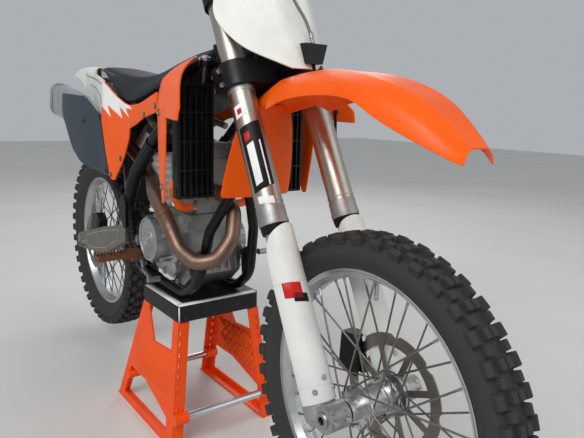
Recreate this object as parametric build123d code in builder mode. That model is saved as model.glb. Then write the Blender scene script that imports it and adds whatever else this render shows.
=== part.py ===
from build123d import *
from math import asin, atan2, cos, hypot, radians, sin, tan
import os

os.makedirs("parts", exist_ok=True)

# Millimetres, +X forward, +Y to the bike's left, +Z up from the floor

# Clearances
SEAT = 0.3          # between a piece and what carries it
RUN = 0.4           # between a turning bore and its pin
PASS = 5.0          # between pieces that move past each other

# Wheels
WHEELBASE = 1480.0
FRONT_R = 347.0
REAR_R = 337.0
FRONT_AXLE_Z = 356.0
REAR_AXLE_Z = 398.0
FRONT_HALF = 42.0
REAR_HALF = 56.0
FRONT_RIM_R = 275.0
REAR_RIM_R = 252.0
RIM_HALF = 25.0
REAR_RIM_HALF = 31.0
LUG_PITCHES = 28
FRONT_LUG = 12.0
REAR_LUG = 15.0
SPOKE_R = 2.1
SPOKES = 36
FLANGE_Y = 36.0
FLANGE_T = 5.0
FRONT_FLANGE_R = 44.0
REAR_FLANGE_R = 54.0
FRONT_BARREL_R = 30.0
REAR_BARREL_R = 34.0
AXLE_R = 12.5
AXLE_BORE_R = 8.0
FRONT_DISC_R = 128.0
FRONT_DISC_Y = 62.0
REAR_DISC_R = 110.0
REAR_DISC_Y = -66.0
DISC_T = 3.0

# Final drive
CHAIN_PITCH = 15.875
CHAIN_Y = 70.0
CHAIN_H = 14.0
CHAIN_WIDE = 17.0
CHAIN_NARROW = 12.0
REAR_TEETH = 48
ENGINE_TEETH = 14
SPROCKET_T = 5.6
ENGINE_SPROCKET = (-95.0, 528.0)

# Steering
RAKE = 26.5
TRAIL_FOOT = (684.0, 0.0, 330.6)
FORK_OFFSET = 22.0
AXLE_OFFSET = 57.0
FORK_HALF = 100.0
OUTER_R = 30.0
UPPER_R = 28.0
SLIDER_R = 24.0
LIP_S = 392.0
LOWER_CLAMP_S = 702.0
LOWER_CLAMP_T = 55.0
UPPER_CLAMP_S = 905.0
UPPER_CLAMP_T = 30.0
TUBE_TOP_S = 950.0
HEAD_R = 27.0
STEM_R = 14.0
LUG_COLLAR_R = 33.7
GUARD_T = 3.0
LUG_INNER = 75.0
AXLE_END = 128.0
BAR_R = 11.0
BAR_MID_R = 14.2

# Frame
PIVOT_X = -185.0
PIVOT_Z = 520.0
TUBE_R = 17.0
CRADLE_R = 14.0
SPINE_Y = 118.0
CRADLE_Y = 85.0
FRAME_BOTTOM = 398.0

# Body
PANEL_T = 4.0
SHELL_T = 3.0

front_x = (WHEELBASE + REAR_R - FRONT_R) / 2
rear_x = front_x - WHEELBASE
front_wheel = Plane(origin=(front_x, 0, FRONT_AXLE_Z), x_dir=(1, 0, 0), z_dir=(0, -1, 0))
rear_wheel = Plane(origin=(rear_x, 0, REAR_AXLE_Z), x_dir=(1, 0, 0), z_dir=(0, -1, 0))
lean = radians(RAKE)
steer = Plane(origin=TRAIL_FOOT, x_dir=(cos(lean), 0, sin(lean)), z_dir=(-sin(lean), 0, cos(lean)))


def at_fork(forward, side, up):
    """A point given ahead of the steering axis, to the left, and up along it"""
    return steer.from_local_coords(Vector(forward, side, up))


def tube(points, bend, radius):
    """Round tube along straight runs joined by tangent arcs"""
    with BuildPart() as run:
        with BuildLine() as path:
            FilletPolyline(*points, radius=bend)
        with BuildSketch(Plane(origin=path.line @ 0, z_dir=path.line % 0)):
            Circle(radius)
        sweep(path=path.line)
    return run.part


def rod(start, end, radius):
    """Straight round bar between two points"""
    axis = Vector(end) - Vector(start)
    with BuildPart() as bar:
        with BuildSketch(Plane(origin=start, z_dir=axis)):
            Circle(radius)
        extrude(amount=axis.length)
    return bar.part


def both_sides(points):
    """The same points on the right and on the left of the bike"""
    return [points, [(x, -y, z) for x, y, z in points]]


def side_block(outline, y_low, y_high):
    """A side outline in x and z, as thick as from y_low to y_high"""
    with BuildPart() as block:
        with BuildSketch(Plane.XZ.offset(-y_high)):
            with BuildLine():
                Polyline(*outline, close=True)
            make_face()
        extrude(amount=y_high - y_low)
    return block.part


def wrapped_panel(outline, plan, thickness):
    """A right-hand panel: a side outline cut from a wall along a plan line"""
    outer = [(x, -half - thickness) for x, half in reversed(plan)]
    low = min(z for x, z in outline)
    high = max(z for x, z in outline)
    with BuildPart() as panel:
        with BuildSketch(Plane.XY.offset(low)):
            with BuildLine():
                Polyline(*[(x, -half) for x, half in plan], *outer, close=True)
            make_face()
        extrude(amount=high - low)
        with BuildSketch(Plane.XZ):
            with BuildLine():
                Polyline(*outline, close=True)
            make_face()
        extrude(amount=FORK_HALF * 4, mode=Mode.INTERSECT)
    return panel.part


def lofted(stations):
    """A body through polygons, each a plane and its corner points"""
    with BuildPart() as body:
        for plane, corners in stations:
            with BuildSketch(plane):
                with BuildLine():
                    Polyline(*corners, close=True)
                make_face()
        loft(ruled=True)
    return body.part


def mirrored_pair(part):
    """The right-hand piece and its left-hand mirror image"""
    with BuildPart() as pair:
        add(part)
        mirror(about=Plane.XZ)
    return pair.part


# Tyres: a carcass of flat facets, one a lug pitch, and blocks standing on them
FRONT_LUGS = (
    # first facet, facets to the next, distance from the middle, width, length
    (0, 2, 8.5, 13.0, 24.0),
    (1, 2, 22.3, 11.0, 22.0),
    (0, 2, 35.2, 12.0, 30.0),
)
REAR_LUGS = (
    (0, 2, 11.2, 18.0, 26.0),
    (1, 2, 29.7, 15.0, 24.0),
    (0, 2, 47.0, 16.0, 32.0),
)


def tyre(wheel, radius, half, rim_r, rim_half, lug, rows):
    """A knobbed tyre sitting on the edges of its rim"""
    facet = 180 / LUG_PITCHES
    tread = radius - lug
    outer = ((-half, tread - 22), (-0.68 * half, tread - 5), (-0.38 * half, tread),
             (0.38 * half, tread), (0.68 * half, tread - 5), (half, tread - 22))
    shoulder = half + 0.5
    inner = ((-shoulder, tread - 36), (-rim_half - 1, rim_r + SEAT),
             (rim_half + 1, rim_r + SEAT), (shoulder, tread - 36))
    with BuildPart() as body:
        for side, flat in outer:
            with BuildSketch(wheel.offset(side)):
                RegularPolygon(flat, LUG_PITCHES, major_radius=False, rotation=facet)
        loft(ruled=True)
        for side, flat in inner:
            with BuildSketch(wheel.offset(side)):
                RegularPolygon(flat, LUG_PITCHES, major_radius=False, rotation=facet)
        loft(ruled=True, mode=Mode.SUBTRACT)
        for first, step, middle, width, length in rows:
            top = radius - max(0.0, middle / half - 0.25) ** 2 * lug
            root = tread - 4 - 25 * (middle / half) ** 2
            for side in (-middle, middle):
                with Locations(wheel.offset(side)):
                    with PolarLocations((top + root) / 2, LUG_PITCHES // step, first * 2 * facet):
                        Box(top - root, length, width)
    return body.part


def save(piece, name):
    """Label a finished piece and write it"""
    piece.part.label = name
    export_step(piece.part, f"parts/{name}.step")


with BuildPart() as front_tyre:
    add(tyre(front_wheel, FRONT_R, FRONT_HALF, FRONT_RIM_R, RIM_HALF, FRONT_LUG, FRONT_LUGS))
save(front_tyre, "front_tyre")

with BuildPart() as rear_tyre:
    add(tyre(rear_wheel, REAR_R, REAR_HALF, REAR_RIM_R, REAR_RIM_HALF, REAR_LUG, REAR_LUGS))
save(rear_tyre, "rear_tyre")


# Rims
RIM_LIP = 11.0
RIM_WELL = 21.0
RIM_FLOOR_HALF = 10.0


def ring_plane(wheel):
    """The plane through the axle in which a wheel's half sections are drawn"""
    return Plane(origin=wheel.origin, x_dir=wheel.x_dir, z_dir=(0, 0, 1))


def rim(wheel, radius, half):
    """A rim with its lips and its well"""
    with BuildPart() as ring:
        with BuildSketch(ring_plane(wheel)):
            with BuildLine():
                Polyline((radius, -half), (radius, half), (radius - RIM_LIP, half),
                         (radius - RIM_WELL, RIM_FLOOR_HALF), (radius - RIM_WELL, -RIM_FLOOR_HALF),
                         (radius - RIM_LIP, -half), close=True)
            make_face()
        revolve(axis=Axis(wheel.origin, (0, 1, 0)))
    return ring.part


with BuildPart() as front_rim:
    add(rim(front_wheel, FRONT_RIM_R, RIM_HALF))
save(front_rim, "front_rim")

with BuildPart() as rear_rim:
    add(rim(rear_wheel, REAR_RIM_R, REAR_RIM_HALF))
save(rear_rim, "rear_rim")


# Spokes, crossed three times: each leaves its flange a sixth of a turn from its rim hole
SPOKE_CROSS = 60.0
SPOKE_SPLAY = 3.0   # how far an outside spoke stands off to pass the edge of its flange


def spokes(wheel, rim_r, flange_r):
    """All the spokes of a wheel, leading and trailing ones on both faces of each flange"""
    hub_r = flange_r - 6
    end_r = rim_r - RIM_WELL - SEAT - 0.7
    face = FLANGE_T / 2 + SPOKE_R + SEAT
    bars = []
    for number in range(SPOKES):
        rim_angle = radians(number * 360 / SPOKES)
        side = 1 if number % 2 else -1
        turn = 1 if number % 4 < 2 else -1
        hub_angle = rim_angle + turn * radians(SPOKE_CROSS)
        across = FLANGE_Y + (face + SPOKE_SPLAY if turn > 0 else -face)
        start = Vector(hub_r * cos(hub_angle), hub_r * sin(hub_angle), side * across)
        end = Vector(end_r * cos(rim_angle), end_r * sin(rim_angle), side * 7.0)
        bars.append((wheel.from_local_coords(start), wheel.from_local_coords(end)))
    with BuildPart() as set_of_spokes:
        for start, end in bars:
            with BuildSketch(Plane(origin=start, z_dir=end - start)):
                RegularPolygon(SPOKE_R, 6)
            extrude(amount=(end - start).length)
    return set_of_spokes.part


with BuildPart() as front_spokes:
    add(spokes(front_wheel, FRONT_RIM_R, FRONT_FLANGE_R))
save(front_spokes, "front_spokes")

with BuildPart() as rear_spokes:
    add(spokes(rear_wheel, REAR_RIM_R, REAR_FLANGE_R))
save(rear_spokes, "rear_spokes")


# Hubs, discs and sprocket
NOSE_R = 23.0
CARRIER_R = 46.0
FRONT_NOSE_Y = 68.0
REAR_NOSE_Y = 76.0


def hub(wheel, steps):
    """A hub turned from a table of its ends along the axle and radii, bored for the axle"""
    with BuildPart() as turned:
        with BuildSketch(ring_plane(wheel)):
            for y_low, y_high, radius in steps:
                with Locations(((AXLE_R + RUN + radius) / 2, (y_low + y_high) / 2)):
                    Rectangle(radius - AXLE_R - RUN, y_high - y_low)
        revolve(axis=Axis(wheel.origin, (0, 1, 0)))
    return turned.part


flange_in = FLANGE_Y - FLANGE_T / 2
flange_out = FLANGE_Y + FLANGE_T / 2
disc_face = FRONT_DISC_Y - DISC_T / 2 - SEAT
with BuildPart() as front_hub:
    add(hub(front_wheel, (
        (-FRONT_NOSE_Y, FRONT_NOSE_Y, NOSE_R),
        (-flange_in, flange_in, FRONT_BARREL_R),
        (-flange_out, -flange_in, FRONT_FLANGE_R),
        (flange_in, flange_out, FRONT_FLANGE_R),
        (flange_out, disc_face - 5, NOSE_R + 4),
        (disc_face - 5, disc_face, CARRIER_R),
    )))
save(front_hub, "front_hub")

rear_disc_face = -REAR_DISC_Y - DISC_T / 2 - SEAT
sprocket_face = CHAIN_Y - SPROCKET_T / 2 - SEAT
with BuildPart() as rear_hub:
    add(hub(rear_wheel, (
        (-REAR_NOSE_Y, REAR_NOSE_Y, NOSE_R),
        (-flange_in, flange_in, REAR_BARREL_R),
        (-flange_out, -flange_in, REAR_FLANGE_R),
        (flange_in, flange_out, REAR_FLANGE_R),
        (-rear_disc_face, -rear_disc_face + 6, CARRIER_R),
        (-rear_disc_face + 6, -flange_out, REAR_BARREL_R),
        (sprocket_face - 6, sprocket_face, CARRIER_R + 12),
        (flange_out, sprocket_face - 6, REAR_BARREL_R + 8),
    )))
save(rear_hub, "rear_hub")

WAVES = 8
DISC_BAND = 26.0
ARM_W = 14.0


def brake_disc(wheel, y_mid, radius):
    """A wavy brake disc on arms from its carrier ring"""
    with BuildPart() as disc:
        with BuildSketch(wheel.offset(-y_mid - DISC_T / 2)):
            Circle(radius)
            with PolarLocations(radius + 9, WAVES):
                Circle(15, mode=Mode.SUBTRACT)
            Circle(radius - DISC_BAND, mode=Mode.SUBTRACT)
            with PolarLocations((radius - DISC_BAND + CARRIER_R) / 2 - 2, WAVES, 360 / WAVES / 2):
                Rectangle(radius - DISC_BAND - CARRIER_R + 14, ARM_W)
            Circle(CARRIER_R + 2)
            Circle(NOSE_R + SEAT, mode=Mode.SUBTRACT)
        extrude(amount=DISC_T)
    return disc.part


with BuildPart() as front_disc:
    add(brake_disc(front_wheel, FRONT_DISC_Y, FRONT_DISC_R))
save(front_disc, "front_disc")

with BuildPart() as rear_disc:
    add(brake_disc(rear_wheel, REAR_DISC_Y, REAR_DISC_R))
save(rear_disc, "rear_disc")

pitch_r = CHAIN_PITCH / 2 / sin(radians(180 / REAR_TEETH))
engine_pitch_r = CHAIN_PITCH / 2 / sin(radians(180 / ENGINE_TEETH))
TOOTH_H = 4.6
ROLLER_R = 5.1
with BuildPart() as rear_sprocket:
    with BuildSketch(rear_wheel.offset(-CHAIN_Y - SPROCKET_T / 2)):
        Circle(pitch_r - ROLLER_R)
        with PolarLocations(pitch_r - 1, REAR_TEETH):
            Trapezoid(8.6, 2 * TOOTH_H + 2, 72, rotation=-90)
        with PolarLocations((pitch_r + CARRIER_R) / 2 + 4, 6, 30):
            Circle(24, mode=Mode.SUBTRACT)
        Circle(NOSE_R + SEAT, mode=Mode.SUBTRACT)
    extrude(amount=SPROCKET_T)
save(rear_sprocket, "rear_sprocket")


# Axles
NUT_R = 17.0
with BuildPart() as front_axle:
    with BuildSketch(front_wheel.offset(-AXLE_END)):
        Circle(AXLE_R)
        Circle(AXLE_BORE_R, mode=Mode.SUBTRACT)
    extrude(amount=2 * AXLE_END)
save(front_axle, "front_axle")

ARM_IN = 84.0
ARM_OUT = 114.0
with BuildPart() as rear_axle:
    with BuildSketch(rear_wheel.offset(-ARM_OUT - 14)):
        Circle(AXLE_R)
        Circle(AXLE_BORE_R, mode=Mode.SUBTRACT)
    extrude(amount=2 * (ARM_OUT + 14))
    for side in (-1, 1):
        with BuildSketch(rear_wheel.offset(side * (ARM_OUT + SEAT))):
            RegularPolygon(NUT_R, 6)
            Circle(AXLE_BORE_R, mode=Mode.SUBTRACT)
        extrude(amount=side * 10)
save(rear_axle, "rear_axle")


# Chain: links between pins, along the two runs and round both sprockets
gap_x = ENGINE_SPROCKET[0] - rear_x
gap_z = ENGINE_SPROCKET[1] - REAR_AXLE_Z
drive_reach = hypot(gap_x, gap_z)
drive_slope = atan2(gap_z, gap_x)
wrap = asin((pitch_r - engine_pitch_r) / drive_reach)
upper_slope = drive_slope - wrap
lower_slope = drive_slope + wrap

def chain_pins():
    """The pins' places in x and z, evenly spaced round both sprockets, from the top of the rear one"""
    run = drive_reach * cos(wrap)
    front_arc = engine_pitch_r * (radians(180) - 2 * wrap)
    rear_arc = pitch_r * (radians(180) + 2 * wrap)
    length = 2 * run + front_arc + rear_arc
    count = 2 * round(length / CHAIN_PITCH / 2)
    top = upper_slope + radians(90)
    low = lower_slope - radians(90)
    pins = []
    for number in range(count):
        at = number * length / count
        if at < run:
            x = rear_x + pitch_r * cos(top) + at * cos(upper_slope)
            z = REAR_AXLE_Z + pitch_r * sin(top) + at * sin(upper_slope)
        elif at < run + front_arc:
            angle = top - (at - run) / engine_pitch_r
            x = ENGINE_SPROCKET[0] + engine_pitch_r * cos(angle)
            z = ENGINE_SPROCKET[1] + engine_pitch_r * sin(angle)
        elif at < 2 * run + front_arc:
            back = at - run - front_arc
            x = ENGINE_SPROCKET[0] + engine_pitch_r * cos(low) - back * cos(lower_slope)
            z = ENGINE_SPROCKET[1] + engine_pitch_r * sin(low) - back * sin(lower_slope)
        else:
            angle = low - (at - 2 * run - front_arc) / pitch_r
            x = rear_x + pitch_r * cos(angle)
            z = REAR_AXLE_Z + pitch_r * sin(angle)
        pins.append(Vector(x, z))
    return pins


pins = chain_pins()
edges = []
for number, pin in enumerate(pins):
    along = (pins[(number + 1) % len(pins)] - pins[number - 1]).normalized()
    across = Vector(-along.Y, along.X) * (CHAIN_H / 2)
    edges.append((pin + across, pin - across))
with BuildPart() as chain:
    for first, width in ((0, CHAIN_WIDE), (1, CHAIN_NARROW)):
        with BuildSketch(Plane.XZ.offset(-CHAIN_Y)):
            for number in range(first, len(pins), 2):
                here, there = edges[number], edges[(number + 1) % len(pins)]
                with BuildLine():
                    Polyline(here[0], here[1], there[1], there[0], close=True)
                make_face()
        extrude(amount=width / 2, both=True)
    with BuildSketch(rear_wheel.offset(-CHAIN_Y)):
        Circle(pitch_r + TOOTH_H + SEAT)
    extrude(amount=SPROCKET_T / 2 + SEAT, both=True, mode=Mode.SUBTRACT)
    with BuildSketch(Plane.XZ.offset(-CHAIN_Y)):
        with Locations(ENGINE_SPROCKET):
            Circle(engine_pitch_r + TOOTH_H + SEAT)
    extrude(amount=SPROCKET_T / 2 + SEAT, both=True, mode=Mode.SUBTRACT)
save(chain, "chain")


# Frame
HEAD_LOW_S = LOWER_CLAMP_S + LOWER_CLAMP_T + 1
HEAD_TOP_S = UPPER_CLAMP_S - 1
spine_path = [(322, -14, 1062), (215, -62, 1000), (110, -104, 930), (-10, -SPINE_Y, 856),
              (-178, -SPINE_Y, 727), (-246, -SPINE_Y, 622), (-226, -112, 520), (-176, -102, 436),
              (-96, -CRADLE_Y, FRAME_BOTTOM + TUBE_R), (80, -CRADLE_Y, FRAME_BOTTOM + CRADLE_R),
              (158, -80, 470), (192, -68, 610), (243, -16, 742)]
spine_upper = spine_path[:9]
cradle_path = spine_path[8:]
spine_bends = (60, 60, 90, 120, 60, 60, 40)


def main_tubes(extra):
    """The tubes of the frame, thicker all round by a clearance"""
    tubes = []
    for points in both_sides(spine_upper):
        tubes.append(tube(points, spine_bends, TUBE_R + extra))
    for points in both_sides(cradle_path):
        tubes.append(tube(points, (90, 90, 60), CRADLE_R + extra))
    tubes.append(tube([at_fork(-8, 0, HEAD_LOW_S + 35), (240, 0, 985), (239, 0, 722)], 40, TUBE_R + extra))
    with BuildPart() as whole:
        add(tubes)
        for side in (-1, 1):
            with Locations((-96, side * CRADLE_Y, FRAME_BOTTOM + TUBE_R)):
                Sphere(TUBE_R + extra)
    return whole.part


SHOCK_TOP = (-225.0, 862.0)
SHOCK_LOW = (-268.0, 562.0)
CROSS_TUBE = (-67.0, 812.0)
CASE_HALF = 78.0
PLATE_IN = 100.0
PLATE_OUT = 112.0
PLATE_OUTLINE = ((-244, 600), (-205, 612), (-150, 560), (-132, 506), (-118, 490), (-118, 456), (-146, 448),
                 (-196, 448), (-240, 500))
HANGER_OUTLINE = ((112, 500), (118, 456), (156, 462), (178, 540), (164, 556), (112, 530))
SHOCK_EAR = ((-52, 822), (-225, 882), (-244, 862), (-225, 842), (-70, 800))
with BuildPart() as frame:
    add(main_tubes(0))
    with BuildSketch(steer.offset(HEAD_LOW_S)):
        Circle(HEAD_R)
    extrude(amount=HEAD_TOP_S - HEAD_LOW_S)
    add(rod((CROSS_TUBE[0], -SPINE_Y, CROSS_TUBE[1]), (CROSS_TUBE[0], SPINE_Y, CROSS_TUBE[1]), CRADLE_R))
    for outline, near, far in (
        (PLATE_OUTLINE, PLATE_IN, PLATE_OUT),
        (HANGER_OUTLINE, CASE_HALF + SEAT, CASE_HALF + 6),
        (SHOCK_EAR, 26, 34),
    ):
        add(side_block(outline, near, far))
        add(side_block(outline, -far, -near))
    with BuildSketch(steer.offset(HEAD_LOW_S)):
        Circle(STEM_R + RUN)
    extrude(amount=HEAD_TOP_S - HEAD_LOW_S, mode=Mode.SUBTRACT)
    with BuildSketch(Plane.XZ.offset(-130)):
        with Locations((PIVOT_X, PIVOT_Z)):
            Circle(AXLE_R + SEAT)
    extrude(amount=260, mode=Mode.SUBTRACT)
    with BuildSketch(Plane.XZ.offset(-60)):
        with Locations(SHOCK_TOP):
            Circle(8 + SEAT)
    extrude(amount=120, mode=Mode.SUBTRACT)
save(frame, "frame")
frame_room = main_tubes(SEAT)


# Swingarm: two deep arms joined behind the pivot
ARM_OUTLINE = ((-290, 545), (-325, 543), (-490, 508), (-800, 428), (-806, 400), (-800, 372),
               (-640, 390), (-480, 416), (-325, 483), (-290, 492))
YOKE_HALF = PLATE_IN - 11
YOKE_OUTLINE = ((PIVOT_X, PIVOT_Z + 26), (-300, 536), (-338, 533), (-338, 482), (-300, 480),
                (PIVOT_X, PIVOT_Z - 26))
with BuildPart() as swingarm:
    add(side_block(ARM_OUTLINE, ARM_IN, ARM_OUT))
    add(side_block(ARM_OUTLINE, -ARM_OUT, -ARM_IN))
    add(side_block(YOKE_OUTLINE, -YOKE_HALF, YOKE_HALF))
    for radius, half in ((26, YOKE_HALF), (20, PLATE_IN - SEAT), (AXLE_R, PLATE_OUT + 4)):
        with BuildSketch(Plane.XZ):
            with Locations((PIVOT_X, PIVOT_Z)):
                Circle(radius)
        extrude(amount=half, both=True)
    for side in (-1, 1):
        with BuildSketch(Plane.XZ.offset(side * 26)):
            with Locations((SHOCK_LOW[0], SHOCK_LOW[1] - 14)):
                Rectangle(36, 56)
        extrude(amount=side * 10)
    with BuildSketch(Plane.XZ):
        with Locations(SHOCK_LOW):
            Circle(8 + SEAT)
    extrude(amount=50, both=True, mode=Mode.SUBTRACT)
    with BuildSketch(rear_wheel):
        Circle(AXLE_R + SEAT)
    extrude(amount=ARM_OUT + 10, both=True, mode=Mode.SUBTRACT)
save(swingarm, "swingarm")

GUIDE_REAR = -604.0
GUIDE_FRONT = -534.0


def lower_run(x, above):
    """A point this far above the middle of the chain's lower run"""
    low_x = rear_x + pitch_r * sin(lower_slope)
    low_z = REAR_AXLE_Z - pitch_r * cos(lower_slope)
    return (x, low_z + (x - low_x) * tan(lower_slope) + above)


chain_gap = CHAIN_H / 2 + 1.5
arm_low = 416 - 26 * (GUIDE_REAR + 480) / (-160) - SEAT
with BuildPart() as chain_guide:
    add(side_block((lower_run(GUIDE_REAR, -16), lower_run(GUIDE_FRONT, -16),
                    lower_run(GUIDE_FRONT, 22), lower_run(GUIDE_REAR, 22)),
                   CHAIN_Y - CHAIN_WIDE / 2 - 5, ARM_IN + 12))
    add(side_block((lower_run(GUIDE_REAR, 10), lower_run(GUIDE_FRONT, 10),
                    (GUIDE_FRONT, arm_low), (GUIDE_REAR, arm_low)), ARM_IN, ARM_IN + 12))
    with BuildSketch(Plane.XZ.offset(-CHAIN_Y)):
        with BuildLine():
            Polyline(lower_run(GUIDE_REAR - 20, -chain_gap), lower_run(GUIDE_FRONT + 20, -chain_gap),
                     lower_run(GUIDE_FRONT + 20, chain_gap), lower_run(GUIDE_REAR - 20, chain_gap), close=True)
        make_face()
    extrude(amount=CHAIN_WIDE / 2 + 1, both=True, mode=Mode.SUBTRACT)
save(chain_guide, "chain_guide")

# Engine
CASE_TOP = 640.0
CASE_OUTLINE = ((-138, 480), (-105, 447), (60, 430), (106, 470), (118, 560), (104, CASE_TOP),
                (-60, CASE_TOP), (-118, 612), (-138, 560))
LEFT_OUTLINE = ((-44, 442), (60, 430), (106, 470), (118, 560), (104, CASE_TOP), (-44, CASE_TOP))
CASE_REAR_Y = 56.0
with BuildPart() as crankcase:
    add(side_block(CASE_OUTLINE, -CASE_HALF, CASE_REAR_Y))
    add(side_block(LEFT_OUTLINE, CASE_REAR_Y, CASE_HALF))
    with BuildSketch(Plane.XZ.offset(-CASE_HALF)):
        with Locations((28, 548)):
            Circle(62)
    extrude(amount=-30)
    with BuildSketch(Plane.XZ.offset(-CHAIN_Y - SPROCKET_T / 2)):
        with Locations(ENGINE_SPROCKET):
            Circle(engine_pitch_r - ROLLER_R)
            with PolarLocations(engine_pitch_r - 1, ENGINE_TEETH):
                Trapezoid(8.6, 2 * TOOTH_H, 72, rotation=-90)
    extrude(amount=SPROCKET_T)
    with BuildSketch(Plane.XZ.offset(-CASE_REAR_Y)):
        with Locations(ENGINE_SPROCKET):
            Circle(15)
    extrude(amount=CASE_REAR_Y - CHAIN_Y)
save(crankcase, "crankcase")

CLUTCH = (-25.0, 558.0)
CLUTCH_OUT = 146.0
COVER_OUTLINE = ((-104, 500), (-70, 462), (50, 452), (92, 500), (84, 590), (40, 628), (-70, 624), (-108, 580))
with BuildPart() as clutch_cover:
    add(side_block(COVER_OUTLINE, -CASE_HALF - 24, -CASE_HALF))
    with BuildSketch(Plane.XZ.offset(CASE_HALF + 24)):
        with Locations(CLUTCH):
            Circle(66)
    extrude(amount=CLUTCH_OUT - CASE_HALF - 24, taper=5)
save(clutch_cover, "clutch_cover")

HEAD_FRONT = 115.0
with BuildPart() as cylinder:
    add(side_block(((-22, CASE_TOP), (98, CASE_TOP), (104, 682), (-26, 682)), -56, 56))
    add(side_block(((-34, 682), (108, 682), (HEAD_FRONT, 690), (HEAD_FRONT, 712), (112, 792), (-40, 792)), -66, 66))
    add(side_block(((-34, 792), (104, 792), (96, 834), (-26, 834)), -60, 60))
    add(rod((-36, 0, 752), (-112, 0, 764), 26))
save(cylinder, "cylinder")

PIPE_R = 20.0
SILENCER_Y = 112.0
header_path = [(HEAD_FRONT + SEAT, 0, 700), (154, 0, 700), (216, -8, 660), (240, -28, 600), (238, -70, 546),
               (203, -114, 534), (150, -134, 562), (106, -140, 616), (-20, -128, 688), (-150, -77, 716),
               (-262, -76, 772), (-318, -SILENCER_Y + 4, 834), (-371.7, -SILENCER_Y, 846)]
with BuildPart() as header_pipe:
    add(tube(header_path, (30, 30, 30, 24, 24, 30, 40, 60, 70, 60, 20), PIPE_R))
save(header_pipe, "header_pipe")

CAN_W = 74.0
CAN_H = 118.0
can_start = Vector(-372, -SILENCER_Y, 846)
can_end = Vector(-838, -SILENCER_Y - 38, 948)
can = Plane(origin=can_start, x_dir=(0, 1, 0), z_dir=can_end - can_start)
can_length = (can_end - can_start).length
with BuildPart() as silencer:
    with BuildSketch(can):
        RectangleRounded(CAN_W, CAN_H, 30)
    extrude(amount=can_length)
    with BuildSketch(can.offset(can_length)):
        RectangleRounded(CAN_W, CAN_H, 30)
    with BuildSketch(can.offset(can_length + 34)):
        RectangleRounded(CAN_W - 26, CAN_H - 34, 22)
    loft(ruled=True)
save(silencer, "silencer")

# Radiators, their grilles and hoses
RAD_X = 212.0
RAD_T = 30.0
RAD_IN = 88.0
RAD_OUT = 182.0
RAD_LOW = 712.0
RAD_TOP = 985.0
TANK_H = 26.0
CORE_INSET = 2.0
with BuildPart() as right_radiator:
    with BuildSketch(Plane.XY.offset(RAD_LOW)):
        with Locations((RAD_X + RAD_T / 2, -(RAD_IN + RAD_OUT) / 2)):
            Rectangle(RAD_T - 4, RAD_OUT - RAD_IN - 2 * CORE_INSET)
    extrude(amount=RAD_TOP - RAD_LOW)
    for low in (RAD_LOW, RAD_TOP - TANK_H):
        with BuildSketch(Plane.XY.offset(low)):
            with Locations((RAD_X + RAD_T / 2, -(RAD_IN + RAD_OUT) / 2)):
                RectangleRounded(RAD_T, RAD_OUT - RAD_IN, 8)
        extrude(amount=TANK_H)
with BuildPart() as radiators:
    add(mirrored_pair(right_radiator.part))
    add(rod((226, -104, 975), (213, -90, 1030), 13))
    with BuildSketch(Plane.XY.offset(1026)):
        with Locations((213, -90)):
            Circle(17)
    extrude(amount=12)
save(radiators, "radiators")

GRILLE_T = 7.0
GRILLE_ROWS = 4
GRILLE_COLUMNS = 6
grille_x = RAD_X + RAD_T + SEAT
with BuildPart() as right_grille:
    with BuildSketch(Plane.YZ.offset(grille_x)):
        with Locations((-(RAD_IN + RAD_OUT) / 2, (RAD_LOW + RAD_TOP) / 2)):
            Rectangle(RAD_OUT - RAD_IN, RAD_TOP - RAD_LOW)
            Rectangle(RAD_OUT - RAD_IN - 12, RAD_TOP - RAD_LOW - 12, mode=Mode.SUBTRACT)
            with GridLocations(0, (RAD_TOP - RAD_LOW) / GRILLE_ROWS, 1, GRILLE_ROWS - 1):
                Rectangle(RAD_OUT - RAD_IN, 4)
            with GridLocations((RAD_OUT - RAD_IN) / GRILLE_COLUMNS, 0, GRILLE_COLUMNS - 1, 1):
                Rectangle(4, RAD_TOP - RAD_LOW)
    extrude(amount=GRILLE_T)
with BuildPart() as radiator_guards:
    add(mirrored_pair(right_grille.part))
save(radiator_guards, "radiator_guards")

HOSE_R = 12.0
hose_path = [(RAD_X - SEAT, -150, 735), (150, -150, 735), (104, -128, 704), (90, -100, 662), (90, -56 - SEAT, 662)]
with BuildPart() as coolant_hoses:
    for points in both_sides(hose_path):
        add(tube(points, (24, 24, 20), HOSE_R))
save(coolant_hoses, "coolant_hoses")


# Tank, seat and airbox
SEAT_HALF = 130.0
SEAT_STATIONS = (
    # x, top, base, half width near the top, half width at the base
    (-580, 1061, 1046, 66, 80),
    (-459, 1046, 1034, 80, 104),
    (-400, 1037, 1014, 85, 116),
    (-287, 1023, 963, 88, 126),
    (-190, 1017, 934, 88, SEAT_HALF),
    (-77, 1023, 953, 86, SEAT_HALF),
    (32, 1047, 984, 80, 119),
    (117, 1065, 1015, 72, 112),
    (195, 1076, 1040, 60, 95),
)
with BuildPart() as seat:
    add(lofted([
        (Plane.YZ.offset(x), (
            (-low_half, base), (-low_half + 3, base + (top - base) * 0.3), (-top_half, top - 8),
            (-top_half * 0.6, top), (top_half * 0.6, top), (top_half, top - 8),
            (low_half - 3, base + (top - base) * 0.3), (low_half, base)))
        for x, top, base, top_half, low_half in SEAT_STATIONS]))
save(seat, "seat")

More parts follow.
